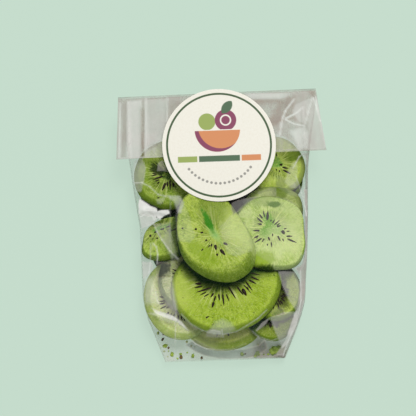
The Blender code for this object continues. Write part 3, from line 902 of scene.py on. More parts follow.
# %% The bag's edges
FOLD_Y = 59.3 * MM
FOLD_Z = 22.4 * MM
NECK_GAP = 0.9 * MM
SIDE_PLACES = (-60.9, -55.2, -47.6, -41, -35, -30, -18.6, 0, 15, 25, 37, 49, 59.3)
LEFT_REACH = (28.8, 30.8, 33.4, 35.6, 37, 37.6, 37.7, 37.8, 39.8, 41, 42.4, 43.8, 44.8)
RIGHT_REACH = (26.2, 28.5, 31.5, 33.8, 35.5, 36, 36.7, 37.8, 38.6, 39, 40.6, 42.2, 42.8)
FOOT_HEIGHT = 9.5 * MM
FOOT_SAG = 1.5 * MM  # how much lower the foot is at its two corners
FOOT_RUN = 24 * MM  # how far up the bag it takes to reach its full height
TOP_START = 20 * MM  # where the bag begins to slope up to the fold
SIDE_BULGE = 1.0 * MM
BULGE_END = 30 * MM  # where the sides begin to flatten towards the fold
CORNER_HEIGHT = 20.5 * MM
BACK_LIFT_Y = 32.1 * MM
HEM_ROUND = 1.4 * MM
FILM_CLEARANCE = 0.5 * MM

COLUMNS = 168
BACK_COLUMNS = 72
SIDE_STEPS = 8
BODY_RINGS = 262
FOLD_RINGS = 8
FLAP_RINGS = 58
CREASE_BAND = 7 * MM
FOLD_INNER = 0.25 * MM
FOLD_ROOM = 1.4 * MM  # between the filled body's last ring and the top of the bag
FOLD_SKEW = 0.01  # of x, how much farther up the fold lies at the right
FLAP_LENGTH = 26.6 * MM
FLAP_THICKNESS = 0.5 * MM
FLAP_CLEARANCE = 0.5 * MM


def side_reach(y):
    """How far the left and the right side stand out from the middle line."""
    places = np.array(SIDE_PLACES) * MM
    return [np.interp(y, places, np.array(row) * MM) for row in (LEFT_REACH, RIGHT_REACH)]


def corner_height(y):
    """The height of the crease between the front film and each side."""
    foot = smooth_step((y + HALF_LENGTH) / FOOT_RUN)
    top = smooth_step((y - TOP_START) / (FOLD_Y - TOP_START))
    lower = FOOT_HEIGHT - FOOT_SAG
    return lower + (CORNER_HEIGHT - lower) * foot + (FOLD_Z - CORNER_HEIGHT) * top


def back_height(y):
    """The height of the back film: flat on the table, then rising to the fold."""
    return (FOLD_Z - NECK_GAP) * np.clip((y - BACK_LIFT_Y) / (FOLD_Y - BACK_LIFT_Y), 0, 1) ** 1.3


def side_inset(y):
    """How far in from the outline the side creases lie."""
    return SIDE_BULGE * (1 - smooth_step((y - BULGE_END) / (FOLD_Y - BULGE_END)))


def taut_film(start, least, rounds=600, overshoot=1.95):
    """Draws a grid of heights taut between its fixed edges and the least heights that it has to clear."""
    height = np.maximum(start, least)
    height[[0, -1], :], height[:, [0, -1]] = start[[0, -1], :], start[:, [0, -1]]
    inner, floor_under = height[1:-1, 1:-1], least[1:-1, 1:-1]
    even = np.indices(inner.shape).sum(axis=0) % 2 == 0
    for _ in range(rounds):
        for group in (even, ~even):
            level = (height[1:-1, :-2] + height[1:-1, 2:] + height[:-2, 1:-1] + height[2:, 1:-1]) / 4
            moved = np.maximum(inner + overshoot * (level - inner), floor_under)
            inner[group] = moved[group]
    return height


def slices_below(x, y):
    """How high the slices reach under each point of a grid, and under its neighbours."""
    height = [cast_down(all_slices, *spot) for spot in zip(x.flat, y.flat, strict=True)]
    height = np.array(height).reshape(x.shape)
    wide = np.pad(height, 1, mode="edge")
    rows, columns = x.shape
    return np.max([wide[r : r + rows, c : c + columns] for r in range(3) for c in range(3)], axis=0)


def even_out(values, spacing, reach_out):
    """A line of values with its sudden steps drawn out along it."""
    steps = np.arange(-3 * reach_out, 3 * reach_out, spacing)
    weights = np.exp(-((steps / reach_out) ** 2) / 2)
    padded = np.pad(values, len(steps), mode="edge")
    smooth = np.convolve(padded, weights / weights.sum(), mode="same")
    return smooth[len(steps) : -len(steps)]


print("the bag is", round((HALF_LENGTH + FOLD_Y) / MM, 1), "mm long up to its fold")

# %% Draw the front taut
# The film's side creases are lifted where the slices under them stand too high.
LIFT_FOOT, LIFT_TOP = 8 * MM, 12 * MM  # from the bag's two ends is where that begins
LIFT_ROOM, MOST_LIFT = 2 * MM, 6 * MM  # how far slices can stand over a crease, and its greatest lift
LIFT_SPREAD = 3.5 * MM
EDGE_SHARE = 1 / 24  # of the front's width is where the slices begin to push

ring_y = np.linspace(-HALF_LENGTH, FOLD_Y - FOLD_ROOM, BODY_RINGS)
left_edge, right_edge = (side - side_inset(ring_y) for side in side_reach(ring_y))
share = np.linspace(0, 1, COLUMNS)
front_x = -left_edge[:, None] * (1 - share[None, :]) + right_edge[:, None] * share[None, :]
front_y = np.repeat(ring_y[:, None], COLUMNS, axis=1)
slice_tops = slices_below(front_x, front_y)
ends = smooth_step((ring_y + HALF_LENGTH) / LIFT_FOOT) * smooth_step((FOLD_Y - ring_y) / LIFT_TOP)
creases = []
for near in (front_x < front_x[:, :1] + CREASE_BAND, front_x > front_x[:, -1:] - CREASE_BAND):
    lift = np.where(near, slice_tops, 0).max(axis=1) - corner_height(ring_y) - LIFT_ROOM
    lift = even_out(np.clip(lift, 0, MOST_LIFT) * ends, ring_y[1] - ring_y[0], LIFT_SPREAD)
    creases.append(corner_height(ring_y) + lift)
front_start = creases[0][:, None] * (1 - share[None, :]) + creases[1][:, None] * share[None, :]
front_start[0] = FOOT_HEIGHT - FOOT_SAG * np.abs(2 * share - 1) ** 3
inside = smooth_step(np.minimum(share, 1 - share) / EDGE_SHARE)
front_z = taut_film(front_start, (slice_tops + FILM_CLEARANCE) * inside[None, :])
print("the front film reaches", round(front_z.max() / MM, 1), "mm")

# %% [markdown]
# Clear film is seen by its flaws. Straight creases run across it where it has been bent, the small planes
# between them catch the lamp at slightly different angles, and it looks milky where it is doubled. The
# creases are real shape, drawn as folded waves and single ridges. The milky patches and lines are an
# attribute on the film's points, which the shader reads. Most of them are painted: the lamp's reflections
# in the facets, the glare and the bright lines along creases and slice edges are painted highlights, and
# the slate patches over the gaps and the shadow at the foot are painted shade.


# %% Creases, milky patches, painted highlights and painted shade
# Waves of creases: their heading (degrees), the distance between them and their height (mm), and a shift.
WAVES = (
    (22, 17, 0.3, 0.1), (68, 23, 0.35, 0.45), (101, 13, 0.2, 0.7), (141, 19, 0.3, 0.25),
    (163, 9, 0.12, 0.6), (84, 7, 0.08, 0.3),
)
# Single ridges: from a point to a point, their half width and height (mm).
RIDGES = (
    (-35.5, 19.5, -30.4, 18.7, 1.6, 0.8), (-30.4, 18.7, -24.1, 13.9, 1.6, 0.9),
    (-24.1, 13.9, -20.3, 11.2, 1.4, 0.7), (-31.6, -7.3, -30.2, -11.4, 1.2, 0.9),
    (-30.2, -11.4, -29.9, -16, 1.4, 1), (-29.9, -16, -31.4, -17.9, 1.2, 0.7),
    (-34.4, -38, -22.7, -41, 1.5, 1), (-22.7, -41, -17.2, -45.7, 1.5, 1),
    (-29.9, -1.8, -24.1, -10.1, 1, 0.6), (-24.1, -10.1, -20.1, -13.3, 1, 0.5),
    (-22.5, -30.9, -23.2, -49.5, 0.9, 0.5), (30.9, -20.3, 30.8, -51.4, 0.9, 0.6),
    (-23.1, -13.6, -23.3, -33.8, 0.8, 0.4), (18.6, -41.1, 30.6, -38.8, 1.1, 0.8),
    (18.6, -41.1, 22.3, -52, 1, 0.6), (35.3, 31.9, 32.5, 24.9, 1.2, 0.6), (32.5, 24.9, 32.8, 14.5, 1, 0.6),
    (-37, 8.3, -29, 7.5, 1.8, 1.3), (-29, 7.5, -23.5, 5.7, 1.5, 1.1),
)
# Milky patches: the veils, the facets and the glare are painted reflections and highlights of the lamp, and
# the slate ones and the shadow at the foot are painted shade. For each: how milky, how light (0 to 1), how
# soft their edges (mm), and their corners (mm).
PATCHES = (
    # Veil over the middle's right.
    (0.09, 0.97, 1.2, ((4, 5.5), (-2, 0), (-1.5, -4), (1, -12), (5, -13), (12, -11), (13, -7.5), (11, -3),
        (8.5, 1.5))),
    # Veil over the right.
    (0.075, 0.97, 0.5, ((4.5, 5.5), (8.5, 1.5), (11.5, -3), (13, -8), (12.5, -11.5), (14, -13), (18.5, -16),
        (20.5, -18), (21.5, -20), (30, -20), (33.5, -17.5), (35.5, -10.5), (35, 4), (32.5, 7.5),
        (29.5, 10.5), (24.5, 12), (15, 12.5), (12, 11), (8.5, 9), (6.5, 7))),
    # Slate between: painted shade over the gap.
    (0.55, 0.2, 0.5, ((4, 10), (6.5, 11), (12, 12), (15, 12.5), (10, 9.5), (6.5, 6.5), (4.5, 5.5),
        (3.5, 7.5))),
    # Grey between the tops.
    (0.18, 0.6, 0.6, ((15.5, 14.5), (21, 16), (23.5, 16), (23.5, 12.5), (15.5, 13))),
    # Veil right of big.
    (0.3, 0.8, 0.5, ((23, -20.5), (25, -27.5), (27.5, -33.5), (31, -39), (32.5, -34), (33, -27),
        (30.5, -21))),
    # Right side band.
    (0.75, 0.6, 0.8, ((36, 15), (38, 14.5), (37.5, 8), (36.5, -12), (35.5, -30), (34.5, -35), (31, -45),
        (27.5, -54), (25, -59.5), (21.5, -59), (26, -52), (28.5, -44), (31.5, -36.5), (33, -29.5),
        (33, -23), (30.5, -19.5), (34, -18), (35.5, -14), (35, -11), (35.5, -5.5), (36, 6))),
    (0.35, 0.62, 0.5, ((35.5, -12), (36.5, -12), (34.5, -19), (32.5, -21.5), (33.5, -17.5))),  # pink crease
    # Veil over low right lower.
    (0.34, 0.8, 0.5, ((19, -41), (25, -39), (31.5, -39), (31, -45), (27.5, -53), (24.5, -56),
        (21.5, -48.5))),
    (0.4, 0.7, 0.5, ((19, -41), (15.5, -43), (12.5, -46.5), (13, -47), (16.5, -44.5))),  # sliver beside it
    # Slate under big right: painted shade.
    (0.3, 0.35, 0.6, ((19.5, -38.5), (23, -36.5), (25, -37.5), (25.5, -39.5), (20, -40.5))),
    # Upper veil left low.
    (0.3, 1, 3, ((-36.5, -33), (-36, -25.5), (-35, -22), (-31.5, -20.5), (-31, -27.5), (-29.5, -33.5),
        (-35, -33.5))),
    # Pale film at the left.
    (0.55, 0.8, 0.8, ((-37, -14.5), (-32, -15), (-31.5, -18), (-35, -21), (-36.5, -22.5))),
    # Slate left of big: painted shade.
    (0.5, 0.25, 1.5, ((-30.5, -17.5), (-29, -15), (-24, -15.5), (-24, -21.5), (-30, -21.5))),
    # Veil left of big.
    (0.34, 0.82, 2, ((-30, -22), (-23.5, -21.5), (-22.5, -30), (-21.5, -38), (-26, -34), (-29.5, -28))),
    # Slate ray shadow.
    (0.25, 0.66, 1.5, ((-30.5, -27), (-28, -31), (-24, -35), (-21, -40), (-22.5, -40.5), (-28, -36),
        (-30, -33))),
    # Glare upper left.
    (1, 1, 0.4, ((-30, 7.5), (-27, 8), (-24, 8), (-23.5, 6.5), (-26, 5.5), (-28, 4), (-29, 4.5))),
    # Glare beside it.
    (1, 0.97, 0.5, ((-37.5, 11), (-37, 13.5), (-34, 11.5), (-32, 10), (-29.5, 9), (-29, 8), (-29.5, 5),
        (-32.5, 5.5), (-35.5, 6), (-37.5, 7))),
    # Grey below the glare.
    (0.6, 0.84, 0.7, ((-37.5, 7), (-33.5, 7.5), (-30.5, 6.5), (-29.5, 4), (-31, 2), (-36.5, 0))),
    # Glare lower left.
    (0.6, 1, 0.8, ((-33.5, -35), (-30.5, -36.5), (-27, -37.5), (-23.5, -39), (-20, -41.5), (-17, -46),
        (-19, -44.5), (-22, -42), (-25.5, -40.5), (-28.5, -39), (-31.5, -37.5))),
    # Veil under it.
    (0.25, 0.9, 0.8, ((-35.5, -37.5), (-31.5, -37), (-27, -39.5), (-24.5, -41.5), (-23, -42.5),
        (-26.5, -42), (-31, -39))),
    # Shadow at the foot.
    (0.5, 0.3, 1.3, ((-14.5, -50), (-10, -53), (-5.5, -55), (1, -55.5), (8, -55.5), (14, -54),
        (16.5, -51.5), (17.5, -55.5), (13, -59), (7.5, -60), (1, -60), (-4.5, -59.5), (-10.5, -58),
        (-14.5, -56), (-19, -52.5))),
    # Veil beside big.
    (0.15, 0.9, 0.8, ((-23.5, -24), (-22.5, -32), (-22, -37.5), (-23.5, -34), (-24, -28.5))),
    # Facet at the foot.
    (0.35, 0.62, 0.4, ((-9, -45.5), (-6.5, -45), (-3, -46), (-2.5, -49), (-6, -49), (-9.5, -48.5))),
    # Veil over big low.
    (0.22, 0.95, 2, ((-8.5, -46.5), (-7, -44), (-5, -41.5), (-2, -40.5), (2, -42.5), (3.5, -45.5),
        (0, -47.5))),
    (0.18, 0.85, 0.5, ((-30.5, 2), (-29.5, -1.5), (-27.5, -5), (-24, -10), (-23.5, 2.5))),  # veil left edge
    # Veil right of it.
    (0.14, 0.75, 0.6, ((-27.5, -5), (-23.5, -13), (-20.5, -14), (-22.5, -5.5), (-23.5, 1.5))),
    # Veil over middle left.
    (0.08, 0.95, 1, ((-21, 5.5), (-19.5, 9), (-17, 10.5), (-15, 5.5), (-14, 0.5), (-12.5, -4), (-15, -6.5),
        (-20.5, -5.5))),
    # Veil between.
    (0.26, 0.95, 1, ((-25, 14.5), (-19, 14), (-17, 11), (-18.5, 6.5), (-20, 6.5), (-21.5, 11.5),
        (-23.5, 13))),
    # Facet on top left.
    (0.2, 0.9, 0.5, ((-29.5, 13), (-28.5, 13), (-25, 14), (-26, 12), (-27.5, 10.5), (-29, 11))),
    # Facet top left edge.
    (0.3, 0.85, 0.6, ((-38.5, 30.5), (-35, 31.5), (-33.5, 27), (-34.5, 21.5), (-36, 16.5), (-38, 16.5),
        (-39.5, 22.5))),
    # Pale zone top right.
    (0.16, 0.92, 0.6, ((33, 28), (33.5, 25.5), (33, 15.5), (30, 16), (27.5, 18.5), (29, 23), (31, 26.5))),
    (0.35, 0.6, 0.6, ((-28, 29), (-26, 30), (-24, 25), (-26, 25.5), (-28.5, 25.5))),  # grey facet top left
    # Right side band upper.
    (0.4, 0.6, 0.8, ((35.5, 31.5), (39.5, 31), (38, 14.5), (36, 14.5), (37.5, 20), (38, 24.5), (37.5, 28))),
    # Veil top right low.
    (0.08, 0.9, 1, ((24, 21.5), (30, 20), (34, 16.5), (35.5, 11.5), (29.5, 12.5), (23.5, 17))),
)
# Creases and slice edges that show as fine bright lines, which are painted highlights where the film bends:
# how milky, how light, and their points (mm).
CREASE_HALF = 0.5  # mm
CREASES = (
    (0.4, 1, ((-31, 2.5), (-29.5, -1.5), (-27.5, -5), (-24, -10), (-20.5, -13.5))),  # long line on the left
    (0.12, 1, ((-23, 13.5), (-23.5, 2.5), (-23.5, -5.5), (-23, -15))),  # upright line on the left
    (0.55, 1, ((-31.5, -6.5), (-30, -8), (-29.5, -11.5), (-30, -15.5))),  # bright loop
    (0.8, 1, ((-37.5, 7.5), (-35, 9.5), (-32.5, 9), (-31, 7.5), (-29.5, 4))),  # glare edge
    (0.7, 1, ((-36.5, 5.5), (-34, 7), (-31.5, 6), (-30.5, 4))),  # second glare edge
    (0.35, 1, ((-32.5, -6.5), (-33, -15), (-34, -21))),  # second loop
    (0.4, 1, ((-31, -27.5), (-30.5, -32), (-30, -33))),  # streak
    (0.35, 1, ((-22.5, -37.5), (-23, -45.5), (-23.5, -51.5))),  # low upright line
    (0.3, 0.9, ((33, -21), (33, -34), (30.5, -47.5), (26.5, -57))),  # right upright line
    (0.3, 0.9, ((34.5, -34.5), (31.5, -45.5), (28.5, -53.5))),  # second right upright line
    (0.4, 1, ((-39, 20.5), (-35.5, 20.5), (-32, 18.5), (-28.5, 15), (-25, 14))),  # top left crease
    (0.4, 1, ((36.5, 31), (34.5, 29.5), (33, 27), (31.5, 24.5))),  # top right crease
    (0.3, 1, ((32.5, 21), (35, 13.5), (36.5, 3.5))),  # right middle crease
    (0.4, 1, ((-2.5, -45.5), (-2, -49))),  # foot crease
    (0.35, 1, ((29, -48), (26.5, -54.5), (25, -60))),  # corner crease
    # Edge of big.
    (0.3, 0.97, ((-20, -38), (-16, -42.5), (-11, -45.5), (-6, -47), (-1.5, -47.5), (4, -46.5), (8.5, -44),
        (13.5, -41), (17.5, -37.5))),
    # Edge of low left.
    (0.22, 0.97, ((-34.5, -40.5), (-32, -44.5), (-28.5, -48), (-25, -49.5), (-21, -49.5))),
    # Edge of the foot slice.
    (0.12, 0.97, ((-18, -48), (-14.5, -52), (-9.5, -54.5), (-2.5, -55.5), (3, -55), (8, -52.5))),
    (0.25, 0.97, ((11, -47), (13.5, -49.5), (16.5, -51), (19.5, -52), (22, -51))),  # edge of low right
)


def folded_waves(x, y):
    """Straight creases in several directions, as a height."""
    total = np.zeros_like(x)
    for heading, gap, height, shift in WAVES:
        c, s = math.cos(math.radians(heading)), math.sin(math.radians(heading))
        along, beside = (x * c + y * s) / MM, (-x * s + y * c) / MM
        turn = along / gap + shift + 0.22 * np.sin(beside / (1.9 * gap) + 9 * shift)
        fold = np.abs(2 * (turn - np.floor(turn + 0.5)))
        strength = 0.5 + 0.5 * np.sin(beside / (2.7 * gap) + along / (4.1 * gap) + 20 * shift)
        total += height * MM * fold * strength
    return total


def distance_to_line(x, y, start, end):
    """How far each point is from the line between two others."""
    run = (end[0] - start[0], end[1] - start[1])
    part = np.clip(((x - start[0]) * run[0] + (y - start[1]) * run[1]) / (run[0] ** 2 + run[1] ** 2), 0, 1)
    return np.hypot(x - start[0] - part * run[0], y - start[1] - part * run[1])


def ridge_height(x, y):
    """The single ridges, as a height."""
    total = np.zeros_like(x)
    for x0, y0, x1, y1, half_width, height in RIDGES:
        away = distance_to_line(x / MM, y / MM, (x0, y0), (x1, y1))
        total = np.maximum(total, height * MM * np.clip(1 - away / half_width, 0, 1))
    return total


def patch_mask(x, y, corners, soft):
    """1 inside a polygon and 0 outside it, with an edge of the given softness."""
    x, y = x / MM, y / MM
    within = np.zeros(x.shape, bool)
    nearest = np.full(x.shape, 1e9)
    for (x0, y0), (x1, y1) in zip(corners, corners[1:] + corners[:1], strict=True):
        spans = (y0 > y) != (y1 > y)
        with np.errstate(divide="ignore", invalid="ignore"):
            crossing = (x1 - x0) * (y - y0) / (y1 - y0 if y1 != y0 else 1e-9) + x0
        within ^= spans & (x < crossing)
        nearest = np.minimum(nearest, distance_to_line(x, y, (x0, y0), (x1, y1)))
    return smooth_step(0.5 + np.where(within, nearest, -nearest) / soft)


def paint(x, y, haze, tone, patches, creases):
    """Adds patches and crease lines, painted highlights and painted shade among them, to how milky and how
    light each point of the film is.
    """
    for own_haze, own_tone, soft, corners in patches:
        mask = patch_mask(x, y, corners, soft)
        haze, tone = haze + own_haze * mask, tone * (1 - mask) + own_tone * mask
    for own_haze, own_tone, points in creases:
        for start, end in zip(points, points[1:], strict=False):
            away = distance_to_line(x / MM, y / MM, start, end)
            mask = np.clip(1 - away / CREASE_HALF, 0, 1)
            haze, tone = haze + own_haze * mask * (1 - haze), tone * (1 - mask) + own_tone * mask
    return np.clip(haze, 0, 1), tone


FRONT_HAZE, FRONT_TONE = 0.004, 0.9  # where there is no patch
WAVE_SHARE, FLAP_WAVE_SHARE = 0.7, 0.5  # of the waves' heights
CREASE_FREE = 5 * MM  # at the foot
fade = smooth_step((ring_y + HALF_LENGTH) / CREASE_FREE)[:, None] * inside[None, :]
bent = folded_waves(front_x, front_y) * WAVE_SHARE + ridge_height(front_x, front_y)
film_front_z = front_z + bent * fade
plain = np.ones(front_x.shape)
front_haze, front_tone = paint(front_x, front_y, FRONT_HAZE * plain, FRONT_TONE * plain, PATCHES, CREASES)
print("milky patches cover", round(float((front_haze > 0.15).mean()) * 100), "% of the front")


# %% The rings of the tube
def flap_slope():
    """The gentlest slope that carries the flap from the fold over the front film."""
    down = FOLD_Y - front_y
    under_flap = (down > 4 * MM) & (down < FLAP_LENGTH + 2 * MM)
    rise = film_front_z + FLAP_CLEARANCE - (FOLD_Z + 2 * FOLD_INNER)
    return float((rise[under_flap] / down[under_flap]).max())


SLOPE = flap_slope()
FOLD_TURN = math.pi - math.atan(SLOPE)
fold_middle_z = float(np.median(film_front_z[-1])) + FOLD_INNER
# Folds that run down the flap: their place along it and their height (mm).
FLAP_FOLDS = ((-40.8, 0.5), (-35.0, 0.6), (-33.0, 0.5), (-23.4, 0.5), (36.9, 0.7))
FLAP_FOLD_HALF = 1.1  # mm
FLAP_DROOP = 1.6 * MM  # how far the flap's corners hang down
DROOP_START = 30 * MM  # how far from the middle line they begin to
SKEW_START = 21 * MM  # the filled body below this stays square
PLEAT_DEPTH, PLEAT_SHARE = 0.8 * MM, 0.12  # of the pleat in each side, and how much of the side it takes up
# How milky and how light the bag's two sides and its back are. The back is milkier and darker at the foot.
LEFT_SIDE_MILK, RIGHT_SIDE_MILK, BACK_MILK = (0.34, 0.82), (0.76, 0.6), (0.3, 0.7)
FOOT_MILK_START, FOOT_MILK_RUN = -38 * MM, 8 * MM
# The flap is several films thick, so it is milky all over, and its patches are a little more or less so.
FLAP_HAZE = (0.46, 0.26)
FLAP_TONE = 0.57
FLAP_PATCHES = (
    # Slice shows through left.
    (-0.28, 0.85, 0.8, ((-36, 31), (-35.5, 33.5), (-33, 36), (-30, 38), (-26, 38.5), (-25.5, 34.5),
        (-25.5, 30.5))),
    # Slice shows through right.
    (-0.3, 0.72, 0.8, ((24.5, 39.5), (27.5, 38.5), (30.5, 36.5), (33, 34.5), (35, 31), (24.5, 31))),
    (0.15, 0.8, 1, ((-40.5, 56.5), (-34.5, 57), (-35.5, 31), (-41.5, 31))),  # light band at the left
    (0.08, 0.5, 1.5, ((-35, 53), (-32.5, 54), (-33.5, 31), (-35.5, 31.5))),  # dark crease band
    (0.12, 0.66, 0.8, ((-32.5, 57), (-23.5, 57), (-23.5, 47.5), (-27, 36.5), (-33, 34.5))),  # lilac panel
    (0.1, 0.54, 3, ((-23.5, 54.5), (-16.5, 56), (-18.5, 52.5), (-23.5, 46))),  # dark panel
    # Top band left.
    (-0.1, 0.6, 1, ((-44.5, 59), (-21.5, 60), (-15, 60.5), (-15, 59), (-23.5, 58), (-35, 57.5),
        (-44.5, 57))),
    (0.15, 0.5, 3, ((14.5, 55.5), (26.5, 55), (28.5, 53.5), (16, 53.5))),  # tan band
    (0.08, 0.76, 1.5, ((11.5, 58.5), (31, 57.5), (29.5, 55.5), (13.5, 56))),  # light band
    (0.1, 0.66, 1, ((41, 55.5), (37.5, 44), (35, 45), (31.5, 49), (33.5, 52.5))),  # facet right
    # Dark wedge.
    (0.2, 0.48, 4, ((29.5, 56.5), (33.5, 55.5), (32, 50), (33.5, 46), (28, 46), (24, 43.5), (21, 45),
        (25.5, 52))),
    (0.12, 0.62, 1, ((41.5, 55), (43.5, 56), (46, 33), (39, 33), (38.5, 44))),  # edge right
    (0.15, 0.5, 1.5, ((38.5, 59.5), (42.5, 59.5), (43.5, 54.5), (41, 55.5))),  # right corner
    (0.06, 0.8, 1.5, ((30.5, 41), (37, 42.5), (38.5, 39.5), (38.5, 33), (34.5, 33))),  # pale lower right
)
FLAP_CREASES = (
    # Fold line.
    (0.55, 0.25, ((-44.5, 58.5), (-26, 59.5), (-8.5, 60), (13.5, 60), (35.5, 59.5), (42.5, 59.5))),
    (0.5, 0.85, ((42.5, 56), (44.5, 45), (46, 33.5))),  # right edge
    (0.35, 0.95, ((41.5, 55.5), (42.5, 52), (44, 45))),  # inside the right edge
    (0.35, 0.9, ((33, 55), (29, 50), (27.5, 46.5), (26, 39.5))),  # diagonal
    (0.35, 0.95, ((41, 55), (37.5, 44))),  # second diagonal
    (0.3, 0.95, ((29, 46.5), (34, 49), (37, 51.5))),  # third diagonal
    (0.3, 0.95, ((29, 46), (32.5, 44), (37, 43))),  # fourth diagonal
    (0.35, 0.9, ((-32.5, 57.5), (-33.5, 31.5))),  # left line
    (0.3, 0.9, ((-40.5, 56.5), (-41.5, 31.5))),  # second left line
    (0.25, 0.95, ((-44, 56), (-45, 32))),  # third left line
    (0.35, 0.75, ((-45.5, 31.5), (-27, 31.5))),  # lower hem
    (0.35, 0.7, ((22, 32.5), (45.5, 33))),  # lower hem at the right
    (0.3, 0.9, ((-23, 57.5), (-23.5, 47))),  # panel line
)


def close_loop(front, back, steps):
    """A ring from its front and its back row, both left to right, and points between them at both sides."""
    down = (np.arange(1, steps + 1) / (steps + 1))[:, None]
    right = front[-1] + (back[-1] - front[-1]) * down
    left = back[0] + (front[0] - back[0]) * down
    return np.concatenate([front, right, back[::-1], left])


def fewer(row):
    """A row of points drawn with the number of points that the back film has."""
    places = np.linspace(0, 1, BACK_COLUMNS)
    return np.stack([np.interp(places, share, column) for column in row.T], axis=1)


def body_ring(k):
    """One ring of the filled body."""
    y, inset = ring_y[k], side_inset(ring_y[k])
    roundness = inset / SIDE_BULGE
    front = np.stack([front_x[k], front_y[k], film_front_z[k]], axis=1)
    back_z = back_height(y) + HEM_ROUND * roundness * np.abs(2 * share - 1) ** 8
    ring = close_loop(front, fewer(np.stack([front_x[k], front_y[k], back_z], axis=1)), SIDE_STEPS)
    down_side = np.arange(1, SIDE_STEPS + 1) / (SIDE_STEPS + 1)
    pleat = PLEAT_DEPTH * roundness * np.exp(-(((down_side - 0.5) / PLEAT_SHARE) ** 2))
    bulge = inset * np.sin(math.pi * down_side) - pleat
    ring[COLUMNS : COLUMNS + SIDE_STEPS, 0] += bulge
    ring[-SIDE_STEPS:, 0] -= bulge
    return ring


def folded_ring(turn, distance):
    """One ring of the fold or the flap: the turn made so far, and the distance down the flap."""
    part = distance / FLAP_LENGTH
    gap = NECK_GAP + (FLAP_THICKNESS - NECK_GAP) * smooth_step(part * 3)
    middle = np.array([front_y[-1, 0], fold_middle_z])
    outwards = np.array([math.sin(turn), -math.cos(turn)])
    forwards = np.array([math.cos(turn), math.sin(turn)])
    left, right = (float(side) + (FLAP_HALF_WIDTH - float(side)) * part for side in side_reach(FOLD_Y))
    x = -left + (left + right) * share
    start = middle + forwards * distance
    ends = np.clip((np.abs(x) - DROOP_START) / (FLAP_HALF_WIDTH - DROOP_START), 0, 1)
    waves = folded_waves(x * 1.3 + 0.03, np.full_like(x, start[0])) * FLAP_WAVE_SHARE
    lift = (waves - FLAP_DROOP * ends**2) * part
    for fold_x, height in FLAP_FOLDS:
        lift = lift + height * MM * np.clip(1 - np.abs(x / MM - fold_x) / FLAP_FOLD_HALF, 0, 1) * part
    rows = []
    for off in (FOLD_INNER, FOLD_INNER + gap):
        y, z = start + outwards * off
        rows.append(np.stack([x, np.full_like(x, y), z + lift], axis=1))
    return close_loop(rows[0], fewer(rows[1]), SIDE_STEPS)


def skewed(ring, share_of_skew):
    """A ring after the top was folded a little askew."""
    ring[:, 1] += FOLD_SKEW * ring[:, 0] * share_of_skew
    return ring


rings = [body_ring(k) for k in range(BODY_RINGS)]
rings = [skewed(ring, smooth_step((ring[:, 1] - SKEW_START) / (FOLD_Y - SKEW_START))) for ring in rings]
turns = [(FOLD_TURN * k / FOLD_RINGS, 0.0) for k in range(1, FOLD_RINGS + 1)]
turns += [(FOLD_TURN, FLAP_LENGTH * k / FLAP_RINGS) for k in range(1, FLAP_RINGS + 1)]
rings += [skewed(folded_ring(*row), 1) for row in turns]
print("the film has", len(rings), "rings of", len(rings[0]), "points")
print("the flap slopes by", round(math.degrees(math.atan(SLOPE)), 1), "degrees")


# %% Join the rings
def back_milk(y):
    """How milky and how light the left side, the back and the right side of a ring are."""
    foot = smooth_step((FOOT_MILK_START - y) / FOOT_MILK_RUN)
    warm = smooth_step((np.linspace(0, 1, BACK_COLUMNS) - 0.5) * 3)
    haze = BACK_MILK[0] + (0.15 + 0.35 * warm) * foot
    back = np.stack([haze, BACK_MILK[1] - 0.12 * warm * foot], axis=1)
    left, right = (np.full((SIDE_STEPS, 2), values) for values in (LEFT_SIDE_MILK, RIGHT_SIDE_MILK))
    return left, back, right


def ring_milk(k):
    """How milky and how light each point of a ring is."""
    if k < BODY_RINGS:
        left, back, right = back_milk(ring_y[k])
        front = np.stack([front_haze[k], front_tone[k]], axis=1)
        return np.concatenate([front, right, back[::-1], left])
    x, y = rings[k][:, 0], rings[k][:, 1]
    streaks = 0.04 * np.sin(x / MM * 0.55) + 0.03 * np.sin(x / MM * 1.7 + 1)
    lower = np.arange(len(x)) < COLUMNS
    haze = np.where(lower, *FLAP_HAZE) + streaks
    painted, tone = paint(x, y, haze, np.full(len(x), FLAP_TONE), FLAP_PATCHES, FLAP_CREASES)
    return np.stack([np.where(lower, painted, haze), tone], axis=1)


def tube_faces(ring_count, count):
    """The faces that join rings of some number of points into one closed skin."""
    rows = np.arange(ring_count * count).reshape(ring_count, count)
    after = np.roll(rows, -1, axis=1)
    sides = np.stack([rows[:-1], after[:-1], after[1:], rows[1:]], axis=-1).reshape(-1, 4)
    return [*sides.tolist(), rows[0].tolist(), rows[-1].tolist()]


film = add_piece("film_bag", np.concatenate(rings).tolist(), tube_faces(len(rings), len(rings[0])))
outside = bmesh.new()
outside.from_mesh(film.data)
bmesh.ops.recalc_face_normals(outside, faces=outside.faces)
outside.to_mesh(film.data)
outside.free()
milk_values = np.concatenate([ring_milk(k) for k in range(len(rings))])
for column, name in enumerate(("haze", "tone")):
    attribute = film.data.attributes.new(name, "FLOAT", "POINT")
    attribute.data.foreach_set("value", milk_values[:, column].copy())
bpy.ops.object.select_all(action="DESELECT")
film.select_set(True)
bpy.context.view_layer.objects.active = film
bpy.ops.object.shade_smooth_by_angle(angle=math.radians(35))
print("the film has", len(film.data.polygons), "faces")

# %% [markdown]
# A film this thin bends no light that we could see. It lets most of it through, mirrors a little of it,
# more at a slant, and scatters a little where it is milky. So the shader mixes three: a see-through one,
# a milky one by the haze attribute, and a glossy one by Fresnel. The haze attribute also carries the
# painted highlights and the painted shade of the film's patches and lines.

# %% The film's material
# The milk's colours from dark to light, the darkest mostly serving the painted shade and the lightest the
# painted highlights: their place on the tone attribute, and the colour.
MILK_COLOURS = (
    (0.0, (84, 74, 60)), (0.35, (120, 122, 120)), (0.5, (158, 132, 118)), (0.62, (200, 193, 187)),
    (1.0, (252, 252, 248)),
)
WHITE = (1, 1, 1, 1)
HEAD_ON_SHINE = 0.0275  # the share of light that film mirrors head on, which is left out
MOST_SHINE = 0.09

